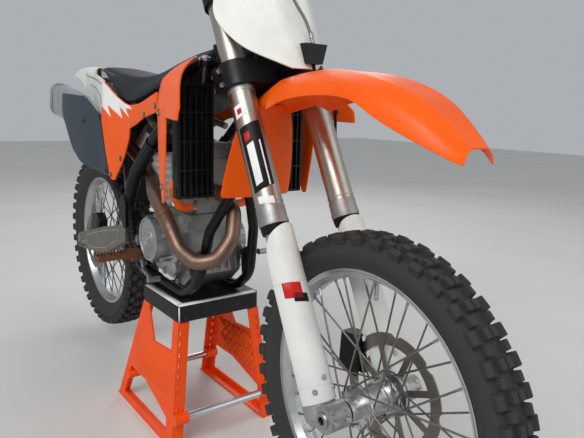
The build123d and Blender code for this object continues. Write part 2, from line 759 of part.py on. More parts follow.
TANK_REAR = (
    # x, low, half width low, top, half width at the top
    (-40, 905, 74, 963.2, 84),
    (32, 930, 80, 983.7, 84),
    (117, 955, 84, 1014.7, 84),
    (195.4, 985, 60, 1039.7, 66),
)
TANK_FRONT = (
    (195.4, 985, 60, 1080, 60),
    (225, 995, 50, 1086, 54),
    (262, 1015, 34, 1084, 44),
)
with BuildPart() as fuel_tank:
    for stations in (TANK_REAR, TANK_FRONT):
        add(lofted([
            (Plane.YZ.offset(x), ((-low_half, low), (-top_half, low + (top - low) * 0.4), (-top_half, top),
                                  (top_half, top), (top_half, low + (top - low) * 0.4), (low_half, low)))
            for x, low, low_half, top, top_half in stations]))
    with BuildSketch(Plane.XY.offset(1080)):
        with Locations((226, 0)):
            Circle(27)
    extrude(amount=16)
    add(frame_room, mode=Mode.SUBTRACT)
save(fuel_tank, "fuel_tank")

RAIL_R = 10.0
RAIL_REAR_Y = 66.0
rail_path = [(-40, -114, 876), (-150, -88, 905), (-300, -RAIL_REAR_Y - 4, 945), (-560, -RAIL_REAR_Y, 1000),
             (-692, -RAIL_REAR_Y + 6, 1018)]
stay_path = [(-244, -116, 640), (-330, -88, 716), (-420, -66, 802), (-600, -66, 988)]
PEG_X = -640.0
with BuildPart() as subframe:
    for points in both_sides(rail_path):
        add(tube(points, (60, 60, 60), RAIL_R))
    for points in both_sides(stay_path):
        add(tube(points, (60, 60), RAIL_R))
    add(rod((-692, -66, 1018), (-692, 66, 1018), RAIL_R))
    for side in (-1, 1):
        with BuildSketch(Plane.XY.offset(1010)):
            with Locations((PEG_X, side * 62)):
                Circle(7)
        extrude(amount=1062.5 - SHELL_T - SEAT - 1010)
    add(frame_room, mode=Mode.SUBTRACT)
save(subframe, "subframe")

AIRBOX_HALF = RAIL_REAR_Y - RAIL_R - SEAT
AIRBOX_OUTLINE = ((-318, 790), (-318, 930), (-400, 1000), (-490, 1018), (-490, 860), (-424, 790))
FLAP_OUTLINE = ((-424, 808), (-440, 808), (-438, 790), (-412, 604), (-408, 604), (-424, 784))
with BuildPart() as airbox:
    add(side_block(AIRBOX_OUTLINE, -AIRBOX_HALF, AIRBOX_HALF))
    add(side_block(FLAP_OUTLINE, -AIRBOX_HALF, AIRBOX_HALF))
save(airbox, "airbox")

# Tail, side panels, number plates and shrouds
TAIL_STATIONS = (
    # x, top, half width at the top, lower edge, half width there
    (-985, 1050, 40, 1034, 52),
    (-900, 1062, 62, 1038, 76),
    (-750, 1067, 78, 1021, 98),
    (-640, 1062.5, 84, 985, 112),
    (-582, 1060, 86, 962, 118),
)


def tail_section(top, top_half, low, low_half):
    """The arched outline of the tail at one station"""
    return ((-low_half, low), (-top_half - 6, top - 10), (-top_half, top),
            (top_half, top), (top_half + 6, top - 10), (low_half, low))


TAIL_WING = ((-640, 1040), (-600, 1048), (-520, 1034), (-430, 1022), (-350, 1004), (-362, 930), (-400, 902),
             (-458, 905), (-500, 920), (-590, 958), (-640, 985))
WING_PLAN = ((-340, 141), (-400, 137), (-500, 123), (-600, 113), (-660, 106))
with BuildPart() as rear_fender:
    add(lofted([(Plane.YZ.offset(x), tail_section(top, top_half, low, low_half))
                for x, top, top_half, low, low_half in TAIL_STATIONS]))
    add(lofted([(Plane.YZ.offset(x + 8 if x < -980 else x + 1 if x > -583 else x),
                 tail_section(top - SHELL_T, top_half - SHELL_T, low - 12, low_half - SHELL_T))
                for x, top, top_half, low, low_half in TAIL_STATIONS]), mode=Mode.SUBTRACT)
    add(mirrored_pair(wrapped_panel(TAIL_WING, WING_PLAN, SHELL_T)))
    with BuildSketch(can.offset(-10)):
        RectangleRounded(CAN_W + 6, CAN_H + 6, 33)
    extrude(amount=can_length, mode=Mode.SUBTRACT)
save(rear_fender, "rear_fender")

panel_in = SEAT_HALF + SEAT
PANEL_PLAN = ((60, 138), (-60, panel_in), (-220, panel_in), (-300, 140), (-380, 152))
PLATE_PLAN = ((-300, 142), (-380, 153), (-480, 172), (-600, 184), (-700, 187))
PANEL_OUTLINE = ((-346, 1005), (-259, 956), (-175, 930), (-100, 934), (44, 966), (38, 914), (-66, 896),
                 (-125, 875), (-172, 863), (-174, 834), (-240, 749), (-289, 696), (-316, 699),
                 (-342, 787), (-361, 881))
SIDE_PLATE_OUTLINE = ((-654, 967), (-461, 956), (-397, 915), (-357.7, 862), (-342.4, 787), (-318.3, 705),
                      (-511, 736), (-575, 778), (-606, 823), (-665, 897))
with BuildPart() as side_panels:
    add(mirrored_pair(wrapped_panel(PANEL_OUTLINE, PANEL_PLAN, PANEL_T)))
save(side_panels, "side_panels")

with BuildPart() as side_plates:
    add(mirrored_pair(wrapped_panel(SIDE_PLATE_OUTLINE, PLATE_PLAN, PANEL_T)))
save(side_plates, "side_plates")

SHROUD_STATIONS = (
    # x, then distance out and height of the top, the middle and the lower edge
    (44.3, 126, 986, 137, 960, 141, 914),
    (110, 120, 1024, 160, 985, 168, 914),
    (185, 118, 1040, 190, 990, 203, 914),
    (234, 118, 1048, 203, 985, 213, 908),
    (313, 206, 1000, 222, 955, 233, 903),
    (390, 246, 925, 249, 912, 251, 900),
)
LEG_PLAN = ((180, 200), (250, 214), (275, 218))
LEG_OUTLINE = ((188, 940), (262, 940), (258, 870), (248, 790), (233, 703), (222, 703), (192, 790))
CLIP = (230.0, 790.0)
with BuildPart() as right_shroud:
    add(lofted([
        (Plane.YZ.offset(x), ((-top_y, top), (-mid_y, mid), (-low_y, low), (-low_y - PANEL_T, low),
                              (-mid_y - PANEL_T, mid), (-top_y - PANEL_T, top)))
        for x, top_y, top, mid_y, mid, low_y, low in SHROUD_STATIONS]))
    add(wrapped_panel(LEG_OUTLINE, LEG_PLAN, PANEL_T))
    add(rod((CLIP[0], CORE_INSET - RAD_OUT - SEAT, CLIP[1]), (CLIP[0], -212, CLIP[1]), 8))
with BuildPart() as shrouds:
    add(mirrored_pair(right_shroud.part))
save(shrouds, "shrouds")

# Shock absorber
SHOCK_R = 21.0
SPRING_R = 37.0
COILS = 7
shock_low = Vector(SHOCK_LOW[0], 0, SHOCK_LOW[1])
shock_top = Vector(SHOCK_TOP[0], 0, SHOCK_TOP[1])
shock = Plane(origin=shock_low, x_dir=(0, 1, 0), z_dir=shock_top - shock_low)
shock_length = (shock_top - shock_low).length
SPRING_LOW = 52.0
SPRING_TOP = 222.0
RESERVOIR = ((-160, -66, 862), (-232, -66, 815))
with BuildPart() as shock_absorber:
    with BuildSketch(shock):
        Circle(SHOCK_R)
    extrude(amount=shock_length)
    with BuildSketch(shock.offset(SPRING_LOW - 8)):
        Circle(SPRING_R)
    extrude(amount=8 - SEAT)
    with BuildSketch(shock.offset(SPRING_TOP + SEAT)):
        Circle(SPRING_R)
    extrude(amount=10)
    for x, z in (SHOCK_LOW, SHOCK_TOP):
        with BuildSketch(Plane.XZ):
            with Locations((x, z)):
                Circle(18)
        extrude(amount=26 - SEAT, both=True)
        with BuildSketch(Plane.XZ):
            with Locations((x, z)):
                Circle(8)
        extrude(amount=36, both=True)
    add(rod(*RESERVOIR, 25))
    add(side_block(((-250, 806), (-216, 806), (-212, 834), (-244, 834)), -56, 0))
save(shock_absorber, "shock_absorber")

coil_step = (SPRING_TOP - SPRING_LOW) / COILS
with BuildPart() as shock_spring:
    with BuildSketch(Plane(origin=shock_low, x_dir=(0, 1, 0), z_dir=(shock.z_dir.Z, 0, -shock.z_dir.X))):
        with BuildLine():
            Polyline((SHOCK_R + SEAT, SPRING_LOW),
                     *[(SPRING_R - (0 if turn % 2 else 7), SPRING_LOW + turn * coil_step / 2)
                       for turn in range(2 * COILS + 1)],
                     (SHOCK_R + SEAT, SPRING_TOP), close=True)
        make_face()
    revolve(axis=Axis(shock_low, shock.z_dir))
save(shock_spring, "shock_spring")

# Footpegs and foot levers
PEG_X_REAR = -206.0
PEG_W = 50.0
PEG_Z = 486.0
PEG_IN = 146.0
PEG_END = 245.0
with BuildPart() as right_peg:
    add(side_block(((PEG_X_REAR, PEG_Z - 14), (PEG_X_REAR + PEG_W, PEG_Z - 14),
                    (PEG_X_REAR + PEG_W, PEG_Z), (PEG_X_REAR, PEG_Z)), -PEG_END, -PEG_IN))
    with BuildSketch(Plane.XY.offset(PEG_Z - 9)):
        with Locations((PEG_X_REAR + PEG_W / 2, -(PEG_IN + PEG_END) / 2)):
            with GridLocations(0, (PEG_END - PEG_IN) / 3, 1, 3):
                Rectangle(PEG_W - 14, (PEG_END - PEG_IN) / 3 - 8)
    extrude(amount=20, mode=Mode.SUBTRACT)
    add(side_block(((-196, 462), (-150, 462), (-150, 494), (-196, 494)), -PEG_IN, -PLATE_OUT - SEAT))
    add(frame_room, mode=Mode.SUBTRACT)
with BuildPart() as footpegs:
    add(mirrored_pair(right_peg.part))
save(footpegs, "footpegs")

with BuildPart() as foot_levers:
    add(rod((-134, -PLATE_OUT - SEAT, 472), (-134, -PLATE_OUT - 16, 472), 10))
    add(tube([(-134, -PLATE_OUT - 10, 472), (-104, -130, 448), (10, -152, 446), (52, -166, 462)], (16, 60), 6))
    add(rod((52, -148, 462), (52, -182, 462), 8))
    add(rod((20, CASE_HALF + 30 + SEAT, 520), (20, CASE_HALF + 44, 520), 11))
    add(tube([(20, CASE_HALF + 38, 520), (96, CASE_HALF + 46, 512), (128, CASE_HALF + 62, 520)], (30,), 6))
    add(rod((128, CASE_HALF + 50, 520), (128, CASE_HALF + 84, 520), 9))
save(foot_levers, "foot_levers")

# Rear brake
CALIPER_OUTLINE = ((-738, 462), (-652, 440), (-640, 500), (-672, 524), (-726, 516))
BRACKET_OUTLINE = ((-768, 380), (-722, 380), (-660, 440), (-665, 500), (-720, 500), (-768, 420))
with BuildPart() as rear_caliper:
    add(side_block(CALIPER_OUTLINE, -82, -50))
    with BuildSketch(rear_wheel.offset(-REAR_DISC_Y)):
        Circle(REAR_DISC_R + PASS)
    extrude(amount=DISC_T / 2 + PASS, both=True, mode=Mode.SUBTRACT)
    add(side_block(BRACKET_OUTLINE, -ARM_IN + SEAT, -78.5))
    with BuildSketch(rear_wheel.offset(60)):
        Circle(AXLE_R + SEAT)
    extrude(amount=40, mode=Mode.SUBTRACT)
save(rear_caliper, "rear_caliper")

# Paddock stand
STAND_TOP = FRAME_BOTTOM - SEAT
SKIRT = 45.0
STAND_REAR = -112.0
STAND_FRONT = 132.0
STAND_HALF = 130.0
FOOT_HALF = 168.0
FOOT_W = 34.0
TUBE_Z = 88.0
FRONT_TUBE_X = STAND_FRONT + 28
REAR_TUBE_X = STAND_REAR - 69
STAND_SLOTS = 9
STAND_TUBE_R = 11.0
stand_mid = (STAND_REAR + STAND_FRONT) / 2
with BuildPart() as stand_top:
    with BuildSketch(Plane.XY.offset(STAND_TOP - SKIRT)):
        with Locations((stand_mid, 0)):
            RectangleRounded(STAND_FRONT - STAND_REAR, 2 * STAND_HALF, 14)
    extrude(amount=SKIRT)
    with BuildSketch(Plane.XY.offset(STAND_TOP - SKIRT)):
        with Locations((stand_mid, 0)):
            RectangleRounded(STAND_FRONT - STAND_REAR - 12, 2 * STAND_HALF - 12, 8)
    extrude(amount=SKIRT - 8, mode=Mode.SUBTRACT)
save(stand_top, "stand_top")

stand_height = STAND_TOP - SKIRT - SEAT
stand_lean = atan2(FOOT_HALF - STAND_HALF + 1, stand_height)
stand_side = Plane(origin=(0, -STAND_HALF + 1, stand_height), x_dir=(1, 0, 0),
                   z_dir=(0, -cos(stand_lean), sin(stand_lean)))
LEG_LOW = -366.0
SOCKET_OUT = FOOT_HALF - 8
SOCKET_IN = STAND_HALF - 10
POST_TOP = STAND_FRONT - 4
POST_FOOT = STAND_FRONT + 26
BACK_TOP = STAND_REAR + 6
BACK_FOOT = STAND_REAR - 134
POST_W = 34.0
POST_T = 6.0
STAND_OUTLINE = ((BACK_TOP, 0), (POST_TOP, 0), (POST_FOOT, LEG_LOW), (BACK_FOOT, LEG_LOW))
STAND_NOTCH = ((BACK_TOP + 34, 1), (-12, -98), (POST_TOP - 28, -88), (POST_TOP - 32, 1))
STAND_ARCH = ((BACK_TOP - 56, -230), (-50, -232), (POST_TOP - 20, -280), (POST_TOP - 14, -330),
              (BACK_TOP - 90, -330))
with BuildPart() as right_side:
    with BuildSketch(stand_side):
        with BuildLine():
            Polyline(*STAND_OUTLINE, close=True)
        make_face()
        for hole in (STAND_NOTCH, STAND_ARCH):
            with BuildLine():
                Polyline(*hole, close=True)
            make_face(mode=Mode.SUBTRACT)
    extrude(amount=-5)
    with BuildSketch(stand_side):
        with BuildLine():
            Polyline((POST_TOP - POST_T, 0), (POST_TOP, 0), (POST_FOOT, LEG_LOW), (POST_FOOT - POST_T, LEG_LOW),
                     close=True)
        make_face()
        with BuildLine():
            Polyline((BACK_TOP + POST_T, 0), (BACK_TOP, 0), (BACK_FOOT, LEG_LOW), (BACK_FOOT + POST_T, LEG_LOW),
                     close=True)
        make_face()
    extrude(amount=-POST_W)
    slot_step = -LEG_LOW / (STAND_SLOTS + 3)
    with Locations(stand_side):
        for number in range(1, STAND_SLOTS + 1):
            down = number * slot_step
            for top, foot in ((POST_TOP, POST_FOOT), (BACK_TOP, BACK_FOOT)):
                with Locations((top - (foot - top) * down / LEG_LOW, -down, -10)):
                    Box(3 * POST_T, slot_step - 16, 5, mode=Mode.SUBTRACT)
    for x in (FRONT_TUBE_X, REAR_TUBE_X):
        add(rod((x, -SOCKET_OUT, TUBE_Z), (x, -SOCKET_IN, TUBE_Z), STAND_TUBE_R + 5))
    with Locations(((POST_FOOT + BACK_FOOT) / 2, FOOT_W / 2 - FOOT_HALF, 3)):
        Box(POST_FOOT - BACK_FOOT, FOOT_W, 6)
    for x in (FRONT_TUBE_X, REAR_TUBE_X):
        with BuildSketch(Plane.XZ.offset(SOCKET_IN - 10)):
            with Locations((x, TUBE_Z)):
                Circle(STAND_TUBE_R + SEAT)
        extrude(amount=SOCKET_OUT - SOCKET_IN + 6, mode=Mode.SUBTRACT)
    with Locations((0, -FOOT_HALF, -50)):
        Box(800, 2 * FOOT_HALF, 100, mode=Mode.SUBTRACT)
with BuildPart() as stand_sides:
    add(mirrored_pair(right_side.part))
save(stand_sides, "stand_sides")

with BuildPart() as stand_tubes:
    for x in (FRONT_TUBE_X, REAR_TUBE_X):
        add(rod((x, -SOCKET_OUT + 5, TUBE_Z), (x, SOCKET_OUT - 5, TUBE_Z), STAND_TUBE_R))
save(stand_tubes, "stand_tubes")

# Clamps and fork
OUTER_BORE_R = SLIDER_R + SEAT
fork_spots = ((FORK_OFFSET, -FORK_HALF), (FORK_OFFSET, FORK_HALF))
CLAMP_FRONT = FORK_OFFSET + 41.0
CLAMP_LUG_Y = FORK_HALF + 38
CLAMP_LUG_FORWARD = 5.0
with BuildPart() as lower_clamp:
    with BuildSketch(steer.offset(LOWER_CLAMP_S)):
        with Locations(*fork_spots):
            Circle(CLAMP_FRONT - FORK_OFFSET)
        Circle(34)
        make_hull()
        with Locations((CLAMP_LUG_FORWARD, -CLAMP_LUG_Y), (CLAMP_LUG_FORWARD, CLAMP_LUG_Y)):
            Rectangle(20, 18)
        with Locations((CLAMP_LUG_FORWARD, -FORK_HALF - 34), (CLAMP_LUG_FORWARD, FORK_HALF + 34)):
            Rectangle(3, 32, mode=Mode.SUBTRACT)
    extrude(amount=LOWER_CLAMP_T)
    with BuildSketch(steer.offset(LOWER_CLAMP_S)):
        Circle(STEM_R)
    extrude(amount=UPPER_CLAMP_S + UPPER_CLAMP_T - LOWER_CLAMP_S)
    with BuildSketch(steer.offset(LOWER_CLAMP_S)):
        with Locations(*fork_spots):
            Circle(OUTER_R + SEAT)
    extrude(amount=LOWER_CLAMP_T, mode=Mode.SUBTRACT)
save(lower_clamp, "lower_clamp")

BAR_FORWARD = 15.0
BAR_S = 985.0
MOUNT_IN = 26.0
MOUNT_W = 28.0
MOUNT_TOP = 18.0
with BuildPart() as upper_clamp:
    with BuildSketch(steer.offset(UPPER_CLAMP_S)):
        with Locations(*fork_spots):
            Circle(36)
        Circle(30)
        make_hull()
        with Locations(*fork_spots):
            Circle(UPPER_R + SEAT, mode=Mode.SUBTRACT)
        Circle(STEM_R + SEAT, mode=Mode.SUBTRACT)
    extrude(amount=UPPER_CLAMP_T)
    with BuildSketch(steer.offset(UPPER_CLAMP_S + UPPER_CLAMP_T)):
        with Locations((BAR_FORWARD, MOUNT_IN + MOUNT_W / 2), (BAR_FORWARD, -MOUNT_IN - MOUNT_W / 2)):
            Rectangle(40, MOUNT_W)
    extrude(amount=BAR_S + MOUNT_TOP - UPPER_CLAMP_S - UPPER_CLAMP_T)
    add(rod(at_fork(BAR_FORWARD, -120, BAR_S), at_fork(BAR_FORWARD, 120, BAR_S), BAR_MID_R + SEAT),
        mode=Mode.SUBTRACT)
save(upper_clamp, "upper_clamp")

BORE_TOP_S = 560.0
SLIDER_TOP_S = 550.0
with BuildPart() as fork_outers:
    for low, high, radius in (
        (LIP_S, LIP_S + 7, OUTER_R + 1.5),
        (LIP_S + 7, LOWER_CLAMP_S + LOWER_CLAMP_T, OUTER_R),
        (LOWER_CLAMP_S + LOWER_CLAMP_T, TUBE_TOP_S, UPPER_R),
    ):
        with BuildSketch(steer.offset(low)):
            with Locations(*fork_spots):
                Circle(radius)
        extrude(amount=high - low)
    with BuildSketch(steer.offset(LIP_S)):
        with Locations(*fork_spots):
            Circle(OUTER_BORE_R)
    extrude(amount=BORE_TOP_S - LIP_S, mode=Mode.SUBTRACT)
save(fork_outers, "fork_outers")

fork_inside = FRONT_DISC_Y + DISC_T / 2 + PASS
COLLAR_TOP_S = 45.0
LUG_OUTLINE = ((-8, -5), (45, -24), (78, -14), (82, 12), (70, 23), (0, 23))
with BuildPart() as fork_sliders:
    for low, high, radius in ((0, SLIDER_TOP_S, SLIDER_R), (2, COLLAR_TOP_S, LUG_COLLAR_R)):
        with BuildSketch(steer.offset(low)):
            with Locations(*fork_spots):
                Circle(radius)
        extrude(amount=high - low)
    for side in (-1, 1):
        lug_plane = Plane(origin=at_fork(0, side * FORK_HALF, 0), x_dir=steer.x_dir, z_dir=(0, -1, 0))
        with BuildSketch(lug_plane):
            with BuildLine():
                Polyline(*LUG_OUTLINE, close=True)
            make_face()
        extrude(amount=20, both=True)
        with BuildSketch(lug_plane):
            with Locations((AXLE_OFFSET, 0)):
                Circle(27)
        extrude(amount=FORK_HALF - LUG_INNER, both=True)
        with BuildSketch(lug_plane):
            with Locations((AXLE_OFFSET, 0)):
                Circle(AXLE_R + SEAT)
        extrude(amount=FORK_HALF, both=True, mode=Mode.SUBTRACT)
    with Locations(at_fork(FORK_OFFSET, 0, 0)):
        Box(300, 2 * fork_inside, 300, mode=Mode.SUBTRACT)
save(fork_sliders, "fork_sliders")

GUARD_R = LUG_COLLAR_R + SEAT
GUARD_SWEEP = 100.0
GUARD_LOW_S = 30.0
GUARD_TOP_S = 440.0
with BuildPart() as fork_guards:
    for side in (-1, 1):
        with BuildSketch(steer.offset(GUARD_LOW_S)):
            with Locations((FORK_OFFSET, side * FORK_HALF)):
                Circle(GUARD_R + GUARD_T)
                Circle(GUARD_R, mode=Mode.SUBTRACT)
                with Locations((-GUARD_R, 0)):
                    Rectangle(2 * GUARD_R * (1 - sin(radians(GUARD_SWEEP - 90))), 4 * GUARD_R, mode=Mode.SUBTRACT)
        extrude(amount=GUARD_TOP_S - GUARD_LOW_S)
    guard_end = GUARD_R + GUARD_T
    with BuildSketch(Plane(origin=TRAIL_FOOT, x_dir=(0, 1, 0), z_dir=steer.x_dir)):
        for side in (-1, 1):
            with Locations((side * FORK_HALF, GUARD_TOP_S)):
                Rectangle(2.4 * guard_end, 2 * guard_end)
            with Locations((side * FORK_HALF, GUARD_TOP_S - guard_end)):
                Circle(guard_end, mode=Mode.SUBTRACT)
    extrude(amount=3 * FORK_HALF, both=True, mode=Mode.SUBTRACT)
    with Locations(at_fork(FORK_OFFSET, 0, 0)):
        Box(900, 2 * fork_inside, 1200, mode=Mode.SUBTRACT)
save(fork_guards, "fork_guards")

# Front brake caliper
FRONT_CALIPER = ((585, 365), (640, 360), (648, 420), (640, 455), (590, 450))
with BuildPart() as front_caliper:
    add(side_block(FRONT_CALIPER, 46, 80))
    add(side_block(((600, 380), (672, 372), (672, 430), (610, 440)), 70, 80))
    with BuildSketch(front_wheel.offset(-FRONT_DISC_Y)):
        Circle(FRONT_DISC_R + PASS)
    extrude(amount=DISC_T / 2 + PASS, both=True, mode=Mode.SUBTRACT)
    with BuildSketch(steer.offset(0)):
        with Locations((FORK_OFFSET, FORK_HALF)):
            Circle(LUG_COLLAR_R + GUARD_T + 2 * SEAT)
    extrude(amount=260, both=True, mode=Mode.SUBTRACT)
save(front_caliper, "front_caliper")

# Front fender
FENDER_STATIONS = (
    # x, half width, crest, edge
    (340, 55, 943, 915),
    (427, 64, 986, 935),
    (450, 66, 991, 940),
    (471, 93, 993, 923),
    (523, 95, 1001, 947),
    (620, 95, 1011, 958),
    (714, 95, 998, 955),
    (753, 94, 988, 943),
    (788, 93, 979, 920),
    (857, 80, 950, 889),
    (910, 62, 900, 865),
    (940, 40, 878, 850),
)


def shell_section(half, crest, edge, thickness):
    """The outline of an arched shell at one station"""
    knee = edge + (crest - edge) * 0.62
    under = thickness * 1.1
    return ((-half, edge), (-half * 0.86, knee), (-half * 0.5, crest), (half * 0.5, crest),
            (half * 0.86, knee), (half, edge), (half - under, edge),
            (half * 0.86 - under, knee - under * 0.4), (half * 0.5 - 1, crest - thickness),
            (1 - half * 0.5, crest - thickness), (under - half * 0.86, knee - under * 0.4), (under - half, edge))


flap = Plane(origin=(352, 0, 930), x_dir=(0, 1, 0), z_dir=(0.983, 0, -0.187))
with BuildPart() as front_fender:
    add(lofted([(Plane.YZ.offset(x), shell_section(half, crest, edge, SHELL_T))
                for x, half, crest, edge in FENDER_STATIONS]))
    with BuildSketch(flap):
        with BuildLine():
            Polyline((-60, 10), (60, 10), (110, -213), (-110, -213), close=True)
        make_face()
    extrude(amount=SHELL_T)
save(front_fender, "front_fender")

# Front number plate
FRONT_PLATE = (
    # z, middle x, side x, half width
    (1012, 499, 488, 30),
    (1052, 482, 410, 108),
    (1123, 452, 340, 143),
    (1200, 420, 335, 120),
    (1262, 395, 370, 60),
)
PLATE_T = 3.2


def plate_section(middle, side, half, front, rear):
    """The bent outline of the number plate at one height, between a front and a rear distance"""
    return ((side + front, -half), (middle + front, -half * 0.3), (middle + front, half * 0.3), (side + front, half),
            (side + rear, half), (middle + rear, half * 0.3), (middle + rear, -half * 0.3), (side + rear, -half))


with BuildPart() as front_plate:
    add(lofted([(Plane.XY.offset(z), plate_section(middle, side, half, 0, -PLATE_T))
                for z, middle, side, half in FRONT_PLATE]))
    with BuildSketch(Plane(origin=TRAIL_FOOT, x_dir=steer.x_dir, z_dir=(0, -1, 0))):
        with BuildLine():
            Polyline((CLAMP_FRONT + SEAT, 715), (138, 715), (138, 735), (CLAMP_FRONT + SEAT, 735), close=True)
        make_face()
    extrude(amount=15, both=True)
save(front_plate, "front_plate")

# Handlebar, grips and controls
bar_path = [(BAR_FORWARD, 0, BAR_S), (BAR_FORWARD, 120, BAR_S), (3, 215, 1062), (-58, 400, 1082)]
GRIP_IN = 290.0
GRIP_END = 404.0
GRIP_R = 16.0


def on_bar(side, y):
    """The middle of the bar at a distance from the middle of the bike, beyond its upper bend"""
    near, far = bar_path[2:]
    part_way = (y - near[1]) / (far[1] - near[1])
    return at_fork(near[0] + part_way * (far[0] - near[0]), side * y, near[2] + part_way * (far[2] - near[2]))


with BuildPart() as handlebar:
    for side in (-1, 1):
        add(tube([at_fork(forward, side * y, up) for forward, y, up in bar_path], (60, 60), BAR_R))
    add(rod(at_fork(BAR_FORWARD, -100, BAR_S), at_fork(BAR_FORWARD, 100, BAR_S), BAR_MID_R))
save(handlebar, "handlebar")

with BuildPart() as grips:
    for side in (-1, 1):
        add(rod(on_bar(side, GRIP_IN), on_bar(side, GRIP_END), GRIP_R))
        add(rod(on_bar(side, GRIP_IN), on_bar(side, GRIP_IN + 6), GRIP_R + 7))
    for side in (-1, 1):
        add(rod(on_bar(side, GRIP_IN - 10), on_bar(side, 400 + SEAT), BAR_R + SEAT), mode=Mode.SUBTRACT)
save(grips, "grips")

LEVER_R = 5.0
PERCH_Y = 254.0
with BuildPart() as bar_controls:
    for side in (-1, 1):
        add(rod(on_bar(side, PERCH_Y - 16), on_bar(side, PERCH_Y + 12), BAR_R + 5))
        perch = on_bar(side, PERCH_Y)
        ahead = steer.x_dir * 40 - steer.z_dir * 8
        tip = on_bar(side, 402) + ahead * 1.1
        add(rod(perch, perch + ahead, 9))
        blade = [perch + ahead - Vector(0, side * 12, 0), perch + ahead + Vector(0, side * 24, 0), tip]
        add(tube(blade, (30,), LEVER_R))
    master = on_bar(-1, PERCH_Y) + steer.x_dir * 26
    add(rod(master + Vector(0, 22, 0), master - Vector(0, 14, 0), 12))
    with BuildSketch(Plane(origin=master + steer.z_dir * 6 + steer.x_dir * 5, x_dir=steer.x_dir, z_dir=steer.z_dir)):
        RectangleRounded(30, 40, 6)
    extrude(amount=22)
    for side in (-1, 1):
        add(rod(on_bar(side, PERCH_Y - 30), on_bar(side, PERCH_Y + 30), BAR_R + SEAT), mode=Mode.SUBTRACT)
save(bar_controls, "bar_controls")

# Front brake hose: straight runs joined by tangent arcs
BRAKE_HOSE_R = 3.5
HOSE_ROUTE = (
    (17, -229, 1065.8), (62, -170, 1052), (125, -120, 1030), (178, -82, 985), (194, -55, 905), (179, -25, 829),
    (161, 17, 786), (153, 19, 744), (146.5, 9, 699.5), (132, 24, 686), (107, 62, 697), (75, 104, 692),
    (44, 138, 645), (13, 138, 585), (11, 139, 495), (8, 143, 408), (7, 144, 322), (8, 144, 236),
    (2, 140, 156), (-14, 118, 96), (-25, 88, 62),
)
hose_points = [at_fork(forward, side, up) for forward, side, up in HOSE_ROUTE]
hose_radii = []
for before, corner, after in zip(hose_points, hose_points[1:], hose_points[2:]):
    first_run = corner - before
    next_run = after - corner
    half_turn = radians(first_run.get_angle(next_run) / 2)
    hose_radii.append(0.45 * min(first_run.length, next_run.length) / tan(half_turn))
print("brake hose radii", [round(radius) for radius in hose_radii])
hose_end = hose_points[-1]
with BuildPart() as brake_hose:
    add(tube(hose_points, hose_radii, BRAKE_HOSE_R))
    add(rod((hose_end.X, 80 + SEAT, hose_end.Z), (hose_end.X, 94, hose_end.Z), 8))
save(brake_hose, "brake_hose")

with BuildPart() as hose_guide:
    add(lofted((
        (Plane.XY.offset(1068), ((460, -9), (500, -9), (500, 50), (460, 50))),
        (Plane.XY.offset(1025), ((480, -8), (513, -8), (513, 28), (480, 28))),
    )))
    add(lofted([(Plane.XY.offset(z), plate_section(middle, side, half, SEAT, -90))
                for z, middle, side, half in FRONT_PLATE]), mode=Mode.SUBTRACT)
    add(tube(hose_points[5:11], hose_radii[5:9], BRAKE_HOSE_R + SEAT), mode=Mode.SUBTRACT)
save(hose_guide, "hose_guide")

# Guards over the frame beside the pivot
with BuildPart() as frame_guards:
    for side in (-1, 1):
        with BuildSketch(Plane.XZ.offset(-side * (SPINE_Y + TUBE_R + SEAT))):
            with BuildLine():
                Polyline((-262, 600), (-262, 640), (-236, 662), (-214, 640), (-214, 560), (-234, 552), close=True)
            make_face()
        extrude(amount=-side * 5)
save(frame_guards, "frame_guards")
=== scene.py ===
"""A motocross bike on its paddock stand: finishes and fine pieces on the CAD frame"""

import math

import bmesh
import bpy
from bpy.props import FloatProperty, FloatVectorProperty, IntProperty, PointerProperty
from mathutils import Matrix, Vector


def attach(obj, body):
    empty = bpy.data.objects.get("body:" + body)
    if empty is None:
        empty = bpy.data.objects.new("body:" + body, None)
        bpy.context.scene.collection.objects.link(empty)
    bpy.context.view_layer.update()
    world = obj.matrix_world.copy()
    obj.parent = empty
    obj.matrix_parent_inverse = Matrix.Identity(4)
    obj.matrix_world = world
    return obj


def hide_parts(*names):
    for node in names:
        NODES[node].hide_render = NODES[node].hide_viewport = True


bl_info = {
    "name": "Motocross bike on a stand",
    "version": (1, 0, 0),
    "blender": (4, 5, 0),
    "location": "View3D > Sidebar > Motocross",
    "description": "Finishes and fine pieces for a motocross bike held by a paddock stand",
    "category": "Object",
}

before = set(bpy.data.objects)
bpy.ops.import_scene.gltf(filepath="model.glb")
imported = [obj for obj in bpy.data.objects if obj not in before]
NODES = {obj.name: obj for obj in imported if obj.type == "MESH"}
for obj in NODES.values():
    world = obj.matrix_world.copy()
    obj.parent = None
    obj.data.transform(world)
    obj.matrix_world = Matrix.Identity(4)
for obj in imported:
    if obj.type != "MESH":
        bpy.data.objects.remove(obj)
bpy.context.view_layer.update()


def linear(hex_colour):
    """An sRGB hex colour as linear red, green and blue"""
    channels = (int(hex_colour[place:place + 2], 16) / 255 for place in (1, 3, 5))
    return tuple(c / 12.92 if c <= 0.04045 else ((c + 0.055) / 1.055) ** 2.4 for c in channels)


def colour_property(label, about, hex_colour):
    """A colour that the sidebar can change"""
    return FloatVectorProperty(name=label, description=about, subtype="COLOR", size=3, min=0, max=1,
                               default=linear(hex_colour))


